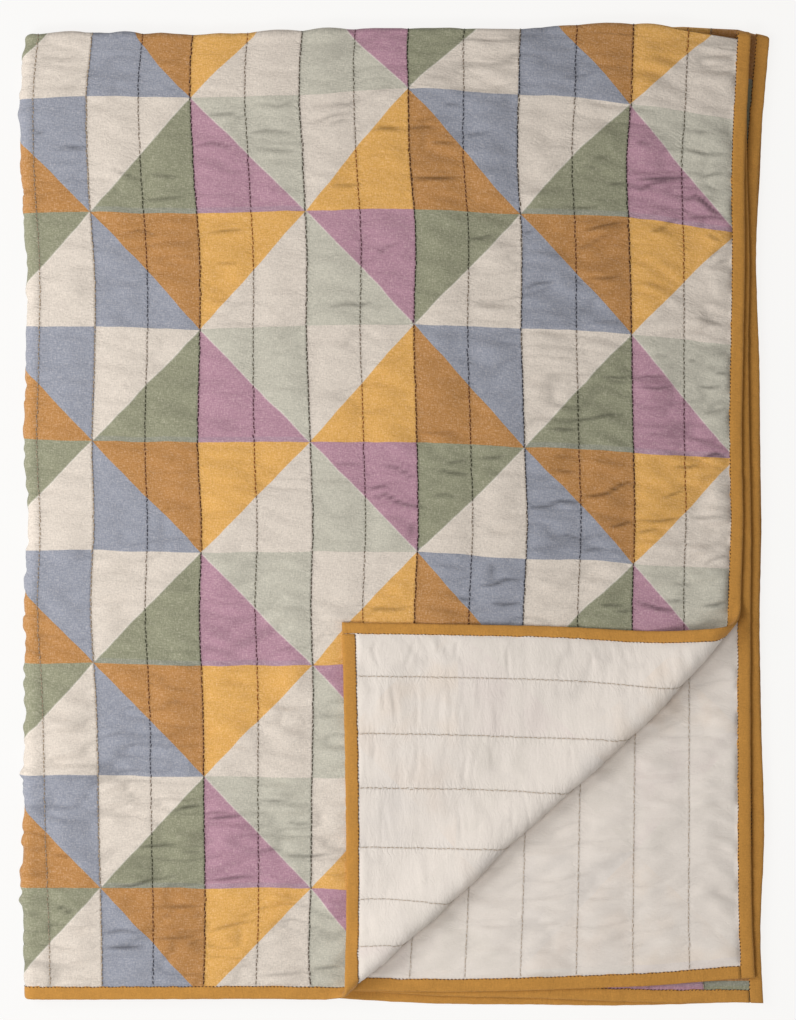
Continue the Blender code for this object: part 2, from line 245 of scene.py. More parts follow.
# Turned corner: where its crease meets the side and the foot of the flat first layer
TURN_SIDE = 0.533
TURN_FOOT = 0.300
CORNER = (-0.0505, -0.1000)
CORNER_SIDE = (1.015, -0.017)
CORNER_LEAN = 0.022
TURN_FADE = 0.070
SETTLE = 0.050

# Where lines along the quilt lie on the turned corner, by their distance from the side
Gather = namedtuple("Gather", "place lies")
GATHERS = [
    Gather(0.000, 0.0000),
    Gather(0.056, 0.0490),
    Gather(0.106, 0.1025),
    Gather(0.156, 0.1535),
    Gather(0.205, 0.2085),
    Gather(0.255, 0.2610),
    Gather(0.304, 0.3065),
    Gather(0.375, 0.3520),
]

# Roll of the turned corner, from the side to the foot
Roll = namedtuple("Roll", "place bow radius out slide")
ROLLS = [
    Roll(0.00, 0.0000, 0.0110, -0.0040, 0.0000),
    Roll(0.10, 0.0012, 0.0105, 0.0020, 0.0000),
    Roll(0.20, 0.0030, 0.0095, 0.0065, 0.0000),
    Roll(0.40, 0.0056, 0.0085, 0.0050, 0.0045),
    Roll(0.55, 0.0090, 0.0080, -0.0020, 0.0128),
    Roll(0.70, 0.0100, 0.0080, -0.0026, 0.0180),
    Roll(0.85, 0.0075, 0.0080, -0.0035, 0.0090),
    Roll(1.00, 0.0000, 0.0080, 0.0000, 0.0000),
]
SLOPE_STEP = 0.0002

# How far print and quilting are drawn down and to the right on the first layer, in millimetres,
# by distance below the top fold (rows) and from the left fold (columns)
DRAWN_AT = (-0.030, 0.073, 0.172, 0.271, 0.371, 0.470, 0.569, 0.675)
Drawn = namedtuple("Drawn", "place a b c d e f")
DRAWN_DOWN = [
    Drawn(-0.060, 0.0, 0.0, 0.0, 0.0, 0.0, 0.0),
    Drawn(0.000, 0.0, 0.0, 0.0, 0.0, 0.0, 0.0),
    Drawn(0.062, -3.0, -3.5, -3.0, -7.5, -6.0, 0.0),
    Drawn(0.167, 0.0, 0.0, 0.0, 0.0, 0.0, 0.0),
    Drawn(0.272, 2.0, 3.0, 2.0, 2.0, 1.0, 3.0),
    Drawn(0.376, 4.0, 4.0, 5.0, 6.0, 6.0, 7.5),
    Drawn(0.481, 0.5, 2.0, 2.5, 3.0, 4.5, 4.5),
    Drawn(0.586, 1.0, 3.0, 3.5, 0.0, 0.0, 0.0),
    Drawn(0.691, 0.0, 2.0, 3.0, 0.0, 0.0, 0.0),
    Drawn(0.795, 1.0, 1.0, 1.0, 0.0, 0.0, 0.0),
    Drawn(0.885, 0.0, 0.0, 0.0, 0.0, 0.0, 0.0),
]
DRAWN_RIGHT = [
    Drawn(-0.060, 0.0, 0.0, 0.0, 0.0, 0.0, 0.0),
    Drawn(0.000, 0.0, -7.5, -6.5, -9.0, -5.5, -1.0),
    Drawn(0.062, -2.0, -6.5, -6.0, -5.5, -3.5, 0.0),
    Drawn(0.115, -1.0, -3.5, -2.0, -3.5, -3.5, -2.5),
    Drawn(0.167, -0.5, -1.5, -1.0, 0.0, -1.5, -1.5),
    Drawn(0.272, 3.5, 1.0, 0.0, 0.0, 0.0, 2.5),
    Drawn(0.376, 3.0, 1.0, 5.5, 4.5, 4.5, 5.5),
    Drawn(0.481, -1.0, 0.0, 3.5, 1.5, 3.0, 3.0),
    Drawn(0.586, 0.0, 0.5, 4.5, 0.0, 0.0, 0.0),
    Drawn(0.691, 1.0, 0.5, 2.0, 0.0, 0.0, 0.0),
    Drawn(0.795, 0.0, -1.0, 0.0, 0.0, 0.0, 0.0),
    Drawn(0.885, -1.0, -4.5, -5.5, 0.0, 0.0, 0.0),
]
DRAWN_FADE = 0.030

# Print: colours of the upper and lower triangle of each patch, by row and column of the repeat,
# and how much of an unprinted line shows between the two
Patch = namedtuple("Patch", "row column upper lower gap")
PATCHES = [
    Patch(0, 0, "green", "cream", 0.45),
    Patch(0, 1, "brown", "blue", 0.0),
    Patch(0, 2, "yellow", "cream", 0.1),
    Patch(0, 3, "mauve", "sage", 0.4),
    Patch(1, 0, "blue", "brown", 0.0),
    Patch(1, 1, "cream", "green", 0.45),
    Patch(1, 2, "sage", "mauve", 0.4),
    Patch(1, 3, "cream", "yellow", 0.1),
]
OVERPRINTED = ("green", "mauve")  # colours with a bluish lower edge
REPEAT_COLUMNS = 4
REPEAT_ROWS = 2

# Print: how its lines lie, in metres, and its bluish lower edges, as shares of a patch's length
WANDER_CELL = 0.045
WANDER_TIMES = 4
LINE_SURE, LINE_GONE = 0.0003, 0.0011
OVERPRINT_FROM, OVERPRINT_TO = 0.945, 0.965
OVERPRINT = 0.20

# Stage
IMAGE = (796, 1020)  # pixels
PACK_MIDDLE = (396.5, 514)  # pixels
MM_PER_PIXEL = 0.925
CAMERA_HEIGHT = 6.0
STACK_TOP = 0.019
SENSOR = 36.0
FLOOR_SIZE = 60.0
FLOOR_FINISH = {
    "Base Color": (0.08, 0.08, 0.08, 1),
    "Roughness": 1.0,
    "Specular IOR Level": 0.0,
    "Emission Color": (1.0, 0.99, 0.975, 1),
    "Emission Strength": 0.88,
}
ROOM_LIGHT = (1.0, 0.995, 0.985, 1)
ROOM_STRENGTH = 0.29
Light = namedtuple("Light", "name place wide power")
LIGHTS = [
    Light("light_above", (-1.9, -1.7, 3.4), 1.4, 68),
    Light("light_left", (-1.15, 0.0, 1.15), 0.8, 14),
]


def hue(name, value, description):
    """A colour setting."""
    return FloatVectorProperty(
        name=name, description=description, default=value, subtype="COLOR", size=3, min=0, max=1
    )


def size(name, value, description):
    """A length setting, in metres."""
    return FloatProperty(
        name=name, description=description, default=value, min=0, unit="LENGTH", precision=5
    )


def share(name, value, description):
    """A setting from 0 to 1."""
    return FloatProperty(name=name, description=description, default=value, min=0, max=1)


class QuiltPrint(PropertyGroup):
    """Colours and sizes of the printed face."""

    cream: hue("Cream", (0.700, 0.620, 0.540), "Undyed triangles")
    green: hue("Grey green", (0.285, 0.285, 0.190), "Darkest triangles")
    mauve: hue("Mauve", (0.460, 0.255, 0.325), "Purple triangles")
    sage: hue("Sage", (0.540, 0.515, 0.430), "Pale green triangles")
    yellow: hue("Mustard", (0.740, 0.400, 0.105), "Yellow triangles")
    brown: hue("Ochre brown", (0.480, 0.230, 0.070), "Brown triangles")
    blue: hue("Grey blue", (0.302, 0.316, 0.372), "Blue triangles")
    bare: hue("Bare cloth", (0.800, 0.740, 0.670), "Unprinted line between some triangles")
    patch_width: size("Patch width", 0.0992, "Across the quilt, two channels wide")
    patch_length: size("Patch length", 0.1047, "Along the quilt")
    first_column: size("First column", 0.3706, "Left edge of a first column of the repeat")
    first_row: size("First row", 0.1671, "Upper edge of a first row of the repeat")
    sway: size("Sway", 0.0010, "How far the print's edges wander")


class QuiltCloth(PropertyGroup):
    """Sizes and colours of the cloth."""

    back: hue("Back", (0.810, 0.736, 0.668), "Plain back of the quilt")
    binding: hue("Binding", (0.530, 0.254, 0.054), "Strips round the edge")
    ghost: share("Ghost", 0.09, "How far the print shows through the back")
    thread: size("Thread", 0.0007, "Width of the slubs in the weave")
    slub: share("Slub", 0.50, "How far thick and thin yarns change the colour")
    pale_threads: share("Pale threads", 0.22, "How far undyed yarns show in the print")
    weave_depth: size("Weave depth", 0.00012, "Height of the yarns")
    crinkle_depth: size("Crinkle depth", 0.0031, "Height of the small crinkles in the print")
    back_crinkles: size("Back crinkles", 0.0006, "Height of the small crinkles in the back")
    puckers: size("Puckers", 0.0010, "Height of the finest crinkles at the stitches")
    crease_depth: size("Crease depth", 0.0018, "Depth of the main creases")
    crease_width: size("Crease width", 0.0019, "From a main crease's bottom to its side")
    # painted shade at the bottom of the creases
    crease_shading: share("Crease shade", 0.66, "How much darker the bottom of a crease is")
    columns: IntProperty(name="Columns", default=8, min=2, description="Faces across a channel")
    row: size("Row", 0.0016, "Length of the faces along the quilt")


class QuiltThread(PropertyGroup):
    """Sizes and colours of the stitching."""

    dark: hue("Dark thread", (0.060, 0.040, 0.030), "On the printed face")
    pale: hue("Pale thread", (0.500, 0.385, 0.275), "On the back")
    # very dark, as the seam ticks also stand for painted shade of the puckers beside the binding
    mustard: hue("Mustard thread", (0.110, 0.048, 0.016), "Along the binding")
    pitch: size("Stitch pitch", 0.0041, "From one stitch to the next")
    length: size("Stitch length", 0.0029, "Part of each stitch that shows")
    width: size("Stitch width", 0.0008, "Thickness of the thread")


def on_curve(table, column, place):
    """Values of one column of a table at any places, on a smooth curve through its rows."""
    places = np.array([row.place for row in table])
    values = np.array([getattr(row, column) for row in table])
    slopes = np.gradient(values, places)
    i = np.clip(np.searchsorted(places, place) - 1, 0, len(places) - 2)
    step = places[i + 1] - places[i]
    s = np.clip((place - places[i]) / step, 0, 1)
    rise = s * s * (3 - 2 * s)
    bend = s * (1 - s)
    return (
        values[i] * (1 - rise)
        + values[i + 1] * rise
        + slopes[i] * step * bend * (1 - s)
        - slopes[i + 1] * step * bend * s
    )


def mix(a, b, part):
    """A value between two others."""
    return a + (b - a) * part


def soft(part):
    """A share from 0 to 1 with soft ends."""
    part = np.clip(part, 0, 1)
    return part * part * (3 - 2 * part)


def drawn(table, across, along):
    """How far each place of the cloth is drawn off straight, in metres."""
    columns = [on_curve(table, name, along) for name in Drawn._fields[1:]]
    values = np.stack([0 * along, *columns, 0 * along])
    at = np.array(DRAWN_AT)
    k = np.clip(np.searchsorted(at, across) - 1, 0, len(at) - 2)
    part = soft((across - at[k]) / (at[k + 1] - at[k]))
    each = np.arange(len(across))
    return mix(values[k, each], values[k + 1, each], part) / 1000


def folded(across, along):
    """Middle of the cloth after the top fold and the left fold, as x, y and z."""
    upper_half = np.clip(across / LEFT_ARC, 0, 1)
    past_top = along - on_curve(ENDS, "skew", np.abs(across)) * upper_half
    past_left = across - on_curve(SIDES, "skew", np.abs(past_top))
    turn = np.clip(past_left / LEFT_ARC, -1, 1) * np.pi / 2
    over = np.clip(past_top / TOP_ARC, -1, 1) * np.pi / 2
    above = (1 + np.sin(turn)) / 2
    outer = (1 + np.sin(over)) / 2
    down, out = np.abs(past_top), np.abs(past_left)

    side = mix(
        mix(on_curve(SIDES, "third", down), on_curve(SIDES, "fourth", down), outer),
        mix(on_curve(SIDES, "second", down), on_curve(SIDES, "first", down), outer),
        above,
    )
    foot = mix(
        mix(on_curve(ENDS, "third", out), on_curve(ENDS, "fourth", out), outer),
        mix(on_curve(ENDS, "second", out), on_curve(ENDS, "first", out), outer),
        above,
    )
    radius = LEFT_RADIUS + TOP_RADIUS * np.sin(over)
    left = on_curve(SIDES, "left", down) + LEFT_RADIUS + TOP_RADIUS + CROWN
    top = mix(on_curve(ENDS, "lower", out), on_curve(ENDS, "upper", out), above)
    top = top - TOP_RADIUS - CROWN

    share_out = np.maximum(out - LEFT_ARC, 0) / (HALF_WIDTH + out - np.abs(across) - LEFT_ARC)
    share_down = np.maximum(down - TOP_ARC, 0) / (HALF_LENGTH + down - np.abs(along) - TOP_ARC)
    spread = on_curve(SIDES, "spread", down) * np.sin(np.pi * share_out) * above * (1 - outer)
    x = left - radius * np.cos(turn) + share_out * (side - left) - spread
    y = top + TOP_RADIUS * np.cos(over) - share_down * (top - foot)
    z = STACK_MIDDLE + radius * np.sin(turn)
    return x, y, z


def corner_plan(across, along):
    """Where cloth of the turned corner lies, seen from above."""
    from_foot = HALF_LENGTH - along
    from_side = on_curve(GATHERS, "lies", HALF_WIDTH - across)
    x = CORNER[0] + from_foot * CORNER_SIDE[0] + from_side * CORNER_LEAN
    y = CORNER[1] + from_foot * CORNER_SIDE[1] - from_side
    return x, y


def turned(across, along, x, y, z):
    """Middle of the cloth with the corner of the first layer turned back over its roll."""
    side_end = np.array([HALF_WIDTH, TURN_SIDE])
    foot_end = np.array([TURN_FOOT, HALF_LENGTH])
    crease = foot_end - side_end
    length = np.hypot(*crease)
    way = crease / length
    place = ((across - side_end[0]) * way[0] + (along - side_end[1]) * way[1]) / length
    bow = on_curve(ROLLS, "bow", place)
    past = (across - side_end[0]) * way[1] - (along - side_end[1]) * way[0] - bow

    on_crease = side_end[:, None] + crease[:, None] * place
    on_crease = on_crease + np.array([[way[1]], [-way[0]]]) * bow
    crease_x, crease_y, _ = folded(*on_crease)
    flap_x, flap_y = corner_plan(across, along)
    base_x, base_y = corner_plan(*on_crease)
    ends_x, ends_y, _ = folded(*np.array([side_end, foot_end]).T)
    along_x, along_y = ends_x[1] - ends_x[0], ends_y[1] - ends_y[0]
    apart = np.hypot(along_x, along_y)
    along_x, along_y = along_x / apart, along_y / apart

    radius = on_curve(ROLLS, "radius", place)
    round_ = past + radius * np.pi / 2
    bend = np.clip(round_ / radius, 0, np.pi)
    beyond = np.maximum(round_ - np.pi * radius, 0)
    before = np.maximum(-round_, 0)
    flat = np.clip(before / DRAWN_FADE, 0, 1)
    x = x + drawn(DRAWN_RIGHT, across, along) * flat
    y = y - drawn(DRAWN_DOWN, across, along) * flat
    fade = np.exp(-((beyond / TURN_FADE) ** 2))
    part = bend / np.pi
    near = fade * np.exp(-((before / TURN_FADE) ** 2))
    slide = on_curve(ROLLS, "slide", place) * near
    push = on_curve(ROLLS, "out", place) * near
    push = push - radius * (2 * bend * (1 - part) - np.sin(bend))

    new_x = mix(x, flap_x + (crease_x - base_x) * fade, part)
    new_x = new_x + slide * along_x - push * along_y
    new_y = mix(y, flap_y + (crease_y - base_y) * fade, part)
    new_y = new_y + slide * along_y + push * along_x
    settled = soft(beyond / SETTLE)
    lift = mix(radius * (1 - np.cos(bend)), LAYER_PITCH, settled)
    corner = (across > LEFT_ARC) & (along > TOP_ARC)
    return (
        np.where(corner, new_x, x),
        np.where(corner, new_y, y),
        np.where(corner & (round_ > 0), z + lift, z),
    )


def middle(across, along):
    """Middle of the cloth in the folded quilt, as rows of points."""
    x, y, z = turned(across, along, *folded(across, along))
    return np.stack([x + SHIFT[0], y + SHIFT[1], z], axis=1)


def fold_points(points):
    """Points of the flat quilt, as across, along and up, moved to the folded quilt."""
    across, along, up = points.T
    by_across = middle(across + SLOPE_STEP, along) - middle(across - SLOPE_STEP, along)
    by_along = middle(across, along + SLOPE_STEP) - middle(across, along - SLOPE_STEP)
    face = np.cross(by_along, by_across)
    face /= np.linalg.norm(face, axis=1)[:, None]
    return middle(across, along) + face * up[:, None]


def stitch_lines():
    """Places across the width where a line of quilting runs."""
    steps = range(-STITCHES_EACH_WAY, STITCHES_EACH_WAY)
    return [STITCH_FIRST + STITCH_PITCH * k for k in steps]


def half_thickness(across, along):
    """Half the thickness of the padded cloth at each place."""
    steps = (across - STITCH_FIRST) / STITCH_PITCH
    to_stitch = np.abs(steps - np.round(steps)) * STITCH_PITCH
    rise = np.minimum(to_stitch / SHOULDER, 1)
    half = SEWN + (CROWN - SEWN) * rise * (2 - rise)
    to_rim = np.minimum(HALF_WIDTH - np.abs(across), HALF_LENGTH - np.abs(along))
    inside = np.clip((to_rim - SEAM) / RIM_SHOULDER, 0, 1)
    return EDGE + (half - EDGE) * inside * (2 - inside)


def even(start, stop, step):
    """Places from start up to stop, in equal steps of about the size given."""
    count = max(int(round((stop - start) / step)), 1)
    return np.linspace(start, stop, count, endpoint=False)


def cloth_columns(cloth, dense_from):
    """Columns of a cloth's grid: fine from one place to the right edge, coarse elsewhere."""
    edge = HALF_WIDTH - CLOTH_END
    fine = STITCH_PITCH / cloth.columns
    lines = stitch_lines()
    first = min(line for line in lines if line >= dense_from)
    places = [np.array([HALF_WIDTH - SEAM, *(edge - step for step in RIM_STEPS), edge])]
    places += [even(a, a + STITCH_PITCH, fine) for a in lines if first <= a < lines[-1]]
    places += [even(lines[-1] - 1e-9, edge - RIM_FINE, fine / 2)]
    round_left = 2 * LEFT_ARC
    places += [even(-round_left, round_left, LEFT_ARC / 4)]
    for line in lines:
        if line < first and abs(line) > round_left:
            places.append(np.array([line - SHOULDER, line]))
    places += [even(-edge, -edge + LEFT_RIM, LEFT_RIM_STEP)]
    found = np.unique(np.concatenate(places))
    found = found[(found >= -edge) & (found <= edge)]
    return found[np.concatenate([[True], np.diff(found) > LEAST_STEP])]


def cloth_rows(cloth, dense):
    """Rows of a cloth's grid: fine in the stretches given, coarse elsewhere."""
    edge = HALF_LENGTH - CLOTH_END
    places = [even(-3 * TOP_ARC, 3 * TOP_ARC, TOP_ARC / 4), even(-edge, edge, PLAIN_ROW)]
    places += [even(start, stop, cloth.row) for start, stop in dense]
    places += [np.array([SEAM - HALF_LENGTH, HALF_LENGTH - SEAM, edge])]
    found = np.unique(np.concatenate(places))
    kept = [found[0]]
    for place in found[1:]:
        if place - kept[-1] > LEAST_STEP or place == found[-1]:
            kept.append(place)
    return np.array(kept)


def lattice(across, along, lumps):
    """Smooth uneven heights from 0 to 1, over a field with room for the whole flat quilt."""
    reach = np.array([1.0, 1.2])
    a = (across + reach[0]) / lumps.cell[0]
    b = (along + reach[1]) / lumps.cell[1]
    counts = (2 * reach / lumps.cell).astype(int) + 3
    heights = np.random.default_rng(lumps.seed).random(tuple(counts))
    i, j = np.floor(a).astype(int), np.floor(b).astype(int)
    s, t = soft(a - i), soft(b - j)
    near = mix(heights[i, j], heights[i + 1, j], s)
    far = mix(heights[i, j + 1], heights[i + 1, j + 1], s)
    return mix(near, far, t)


def crinkles(across, along):
    """The crinkles that washing drew across the channels: their height in a range of about 1, and how
    much painted shade their sharp lines get, from 0 to 1."""
    drift = (lattice(across, along, DRIFT) - 0.5) * DRIFT.strength
    uneven = ON_AVERAGE
    for lumps, follows in ((BROAD, 1.0), (SMALL, 1.0), (GATHERED, 0.6)):
        uneven = uneven + lumps.strength * (lattice(across, along + follows * drift, lumps) - 0.5)
    lines = 1 - np.abs(2 * lattice(across, along + drift, SHARP) - 1)
    patchy = np.clip((lattice(across, along, PATCHY) - 0.25) * PATCHY.strength, 0, 1)
    # painted shade along the sharp crinkle lines
    dark = patchy * soft((lines - 0.72) / 0.28)
    by_foot = FOOT_CRINKLES * soft((along - FOOT_FROM) / FOOT_FADE)
    lively = 1 + mix(by_foot, RIGHT_CRINKLES, soft((across - RIGHT_FROM) / RIGHT_FADE))
    return lively * (uneven - SHARP.strength * patchy * lines**3), lively * dark


# Main creases: how strong each is, and the points it runs through, in pixels of the photograph
Crease = namedtuple("Crease", "strength points")
PRINT_CREASES = [
    Crease(1.0, [(633, 180), (654, 178.5), (673, 177.4), (683, 177.4), (693, 176.6)]),
    Crease(0.8, [(630, 184.7), (636, 189), (642, 189.8), (649.5, 184.7), (660, 182.5), (673, 179.6)]),
    Crease(0.7, [(607, 186), (616, 183), (627.5, 184.7)]),
    Crease(
        1.0,
        [
            (683, 200), (690.6, 198), (696.4, 195), (701, 199.4), (708, 205), (714, 211.8), (721,
            214.8), (730, 221),
        ],
    ),
    Crease(0.7, [(686, 217.7), (701, 217), (715.5, 217), (728.7, 220)]),
    Crease(0.8, [(648, 233), (660, 230), (665.6, 225.8), (671.5, 221.4), (682, 217.7)]),
    Crease(0.4, [(646.5, 217), (654, 213), (663, 209.6)]),
    Crease(0.5, [(635, 136), (642, 143.6), (651, 143.6)]),
    Crease(0.8, [(582, 231.6), (604, 225.8), (616, 222.8), (626, 221.4)]),
    Crease(0.5, [(574.7, 243.4), (585, 247.8), (601, 237.5), (611, 234.6)]),
    Crease(0.7, [(588, 278.6), (608.4, 278.6), (623, 275)]),
    Crease(0.6, [(706.7, 233), (712.6, 236), (721.4, 242)]),
    Crease(0.5, [(708, 261), (715.5, 252), (721.4, 247.8)]),
    Crease(0.5, [(717, 264), (721.4, 261), (730, 259.5)]),
    Crease(0.6, [(701, 177.4), (715.5, 173), (724, 172)]),
    Crease(0.5, [(687.6, 148), (706.7, 154), (722.8, 154)]),
    Crease(0.5, [(692, 130), (708, 132)]),
    Crease(0.6, [(701, 183), (712.6, 189), (721.4, 190.6)]),
    Crease(0.5, [(579, 165.6), (588, 165.6), (604, 172)]),
    Crease(0.5, [(596.7, 156), (613, 156.8)]),
    Crease(0.6, [(560, 205), (574.7, 208), (601, 206.7)]),
    Crease(0.5, [(563, 76), (582, 76), (595, 71.7)]),
    Crease(0.4, [(701, 66), (714, 66), (726, 67.3)]),
    Crease(0.8, [(602, 376.4), (617, 378.3), (629.6, 377.7)]),
    Crease(0.6, [(604.7, 380.8), (619.6, 382.6), (629.6, 383.2)]),
    Crease(0.7, [(633, 379), (642, 376.4), (669.4, 376.4)]),
    Crease(0.7, [(637, 386.4), (657, 388.8), (674.4, 385.7)]),
    Crease(0.8, [(562.4, 420.6), (592.3, 419.3), (607, 415), (627, 415)]),
    Crease(0.8, [(550, 428.6), (566, 429.3), (578.6, 430)]),
    Crease(0.4, [(647, 434), (662, 434)]),
    Crease(1.0, [(701.7, 458), (710.4, 455.4), (716.6, 454), (727.8, 458)]),
    Crease(0.5, [(652, 354), (669.4, 357)]),
    Crease(0.6, [(688, 361), (696.7, 360)]),
    Crease(0.7, [(715.4, 372.7), (730, 374)]),
    Crease(0.8, [(696.7, 385), (708, 387.6), (720.4, 386.4)]),
    Crease(0.6, [(705.5, 413), (716.6, 410.6), (730, 407.5)]),
    Crease(0.5, [(696.7, 316.7), (709, 321), (726.6, 326)]),
    Crease(0.5, [(553.7, 455.4), (579.8, 458)]),
    Crease(0.7, [(675.6, 466.6), (686.8, 467.8), (699, 464)]),
    Crease(0.6, [(550, 469), (568.7, 471.5), (579.8, 471.5)]),
    Crease(1.0, [(583.6, 496.6), (594.7, 496), (607, 493), (619.6, 486), (627, 483), (635.8, 483.6)]),
    Crease(1.0, [(608.4, 528.3), (617, 526), (624.6, 523.4), (632, 520.3)]),
    Crease(0.7, [(634.5, 519.6), (657, 522), (676.8, 518.4), (685.5, 517.2)]),
    Crease(0.8, [(664.4, 497.3), (675.6, 493.5), (683, 490.4)]),
    Crease(0.6, [(634.5, 533.3), (657, 529.6)]),
    Crease(0.9, [(548.7, 504.7), (558.7, 501), (582.3, 501.6)]),
    Crease(0.8, [(557.4, 537), (567.4, 535.2), (581, 539.5), (588.5, 539)]),
    Crease(0.7, [(581, 552), (592.3, 549), (604.7, 549.5)]),
    Crease(0.8, [(598.5, 605.4), (609.7, 604.8), (624.6, 605.4)]),
    Crease(0.7, [(614.6, 611), (627, 611), (634.5, 608)]),
    Crease(1.0, [(635.8, 600), (644.5, 604), (657, 608), (670.6, 610.4), (676.8, 615.4)]),
    Crease(0.7, [(669.4, 601), (685.5, 600.5)]),
    Crease(0.8, [(701.7, 606), (716.6, 604.8), (730, 601)]),
    Crease(0.5, [(670.6, 583), (694, 585.6)]),
    Crease(0.5, [(686.8, 517.8), (729, 516)]),
    Crease(0.4, [(704, 569.4), (710.4, 560.7), (731.5, 554.5)]),
    Crease(0.7, [(368, 489.6), (378, 486.7), (389.5, 484.5)]),
    Crease(
        0.9,
        [
            (373.7, 500.3), (383.8, 493), (392.4, 497.4), (401, 503), (415.4, 506.8), (426.8, 507.5),
        ],
    ),
    Crease(0.7, [(382.4, 464.4), (398, 467.3), (415.4, 479.5)]),
    Crease(0.4, [(335, 463.7), (362.3, 464.4)]),
    Crease(0.8, [(437, 468), (447, 471.6), (471.3, 475)]),
    Crease(0.6, [(444, 466), (452.7, 462.3), (468.5, 460)]),
    Crease(0.7, [(480, 457.3), (495.7, 457.3), (507, 454.4)]),
    Crease(0.6, [(431, 497.4), (442.6, 493), (458.4, 497.4)]),
    Crease(0.8, [(411.8, 521.8), (413.2, 533.3), (414.6, 549)]),
    Crease(0.9, [(480, 585.7), (492.8, 585), (507, 579), (524.4, 580)]),
    Crease(0.8, [(490, 603), (504.3, 605), (524.4, 603)]),
    Crease(0.5, [(460, 579), (471.3, 576.4)]),
    Crease(0.7, [(458.4, 598), (472.8, 599.3)]),
    Crease(0.5, [(492, 562), (492.8, 585)]),
    Crease(0.8, [(528, 508), (547.4, 506.8), (560, 501.7)]),
    Crease(0.6, [(366.6, 616.5), (376.6, 608), (395.3, 609.4), (409.6, 606.5)]),
    Crease(0.9, [(172, 812), (186, 806.5), (204, 804.5)]),
    Crease(0.9, [(207, 819), (229.7, 817), (245.5, 816)]),
    Crease(0.6, [(207, 813.5), (228, 812)]),
    Crease(0.8, [(137, 847), (152.6, 846), (178, 845)]),
    Crease(0.5, [(180, 851), (202, 852)]),
    Crease(0.9, [(113, 887.5), (133, 885.5), (150.6, 879.6), (168.4, 878.6)]),
    Crease(0.5, [(160.5, 879.6), (176, 874.7)]),
    Crease(0.7, [(261, 800.5), (287, 801.5)]),
    Crease(0.6, [(285, 821), (299, 824), (312, 823)]),
    Crease(0.7, [(261, 852), (275, 848), (283, 853)]),
    Crease(0.8, [(283, 855), (309, 857), (332.5, 853)]),
    Crease(0.8, [(208, 880.6), (247.5, 876.6), (257.4, 878.6)]),
    Crease(0.7, [(103, 933), (123, 930), (140.7, 934)]),
    Crease(0.9, [(105, 947), (123, 948), (144.7, 946)]),
    Crease(0.7, [(156.5, 907), (202, 906)]),
    Crease(0.7, [(156.5, 939), (184, 938), (200, 935)]),
    Crease(0.6, [(188, 945), (202, 939)]),
    Crease(0.5, [(208, 932), (228, 926), (255.4, 921)]),
    Crease(0.8, [(53.7, 903), (61.6, 908), (73.5, 915)]),
    Crease(0.5, [(51.7, 853), (73.5, 859)]),
    Crease(0.7, [(312.7, 968.6), (340, 966.6)]),
    Crease(0.5, [(261, 975.5), (303, 972.5)]),
    Crease(0.8, [(374, 130), (384, 126.7), (403, 129.6)]),
    Crease(0.8, [(407.7, 129.6), (418, 127.4), (432.7, 126.7), (438.5, 129)]),
    Crease(0.6, [(431, 142), (456, 142.8)]),
    Crease(0.9, [(412, 178), (425.4, 177.3), (446, 178), (460.6, 178)]),
    Crease(0.6, [(333, 184), (353.5, 185.3), (361, 184)]),
    Crease(0.8, [(466.4, 238), (481, 238), (495.8, 233.8)]),
    Crease(0.6, [(446, 104.7), (459, 104.7)]),
    Crease(0.5, [(463.5, 136), (481, 134), (492.8, 131.8)]),
    Crease(0.7, [(522, 235), (534, 229.4)]),
    Crease(0.7, [(522, 291), (535.4, 283.6), (556, 282)]),
    Crease(0.5, [(372.5, 260), (385.7, 247), (400.4, 242.6)]),
    Crease(0.5, [(330, 103), (349, 104), (362, 98.8)]),
    Crease(0.5, [(330, 125), (340, 120), (349, 120)]),
    Crease(0.5, [(330, 307), (347.6, 302.7), (359, 301)]),
    Crease(0.7, [(63.3, 145.7), (85, 148.3)]),
    Crease(0.6, [(30, 128.3), (36.7, 132.7), (45, 133.3)]),
    Crease(0.6, [(110, 168.3), (133.3, 178.3), (143.3, 181.7)]),
    Crease(0.6, [(146.7, 173.3), (180, 178.3)]),
    Crease(0.6, [(143.3, 200), (186.7, 196.7)]),
    Crease(0.6, [(196.7, 146.7), (213.3, 141.7), (233.3, 148.3)]),
    Crease(0.6, [(206.7, 116.7), (230, 113.3), (245, 121.7)]),
    Crease(0.5, [(253.3, 103.3), (280, 106.7), (296.7, 100)]),
    Crease(0.7, [(248.3, 133.3), (266.7, 130), (296.7, 133.3)]),
    Crease(0.6, [(251.7, 146.7), (273.3, 150), (298.3, 151.7)]),
    Crease(0.5, [(313.3, 123.3), (333.3, 115), (350, 113.3)]),
    Crease(0.6, [(206.7, 233.3), (233.3, 230), (246.7, 230)]),
    Crease(0.5, [(213.3, 263.3), (240, 263.3)]),
    Crease(0.7, [(345, 300), (358, 305), (375, 302)]),
    Crease(0.6, [(128, 233), (140, 230), (155, 236)]),
]
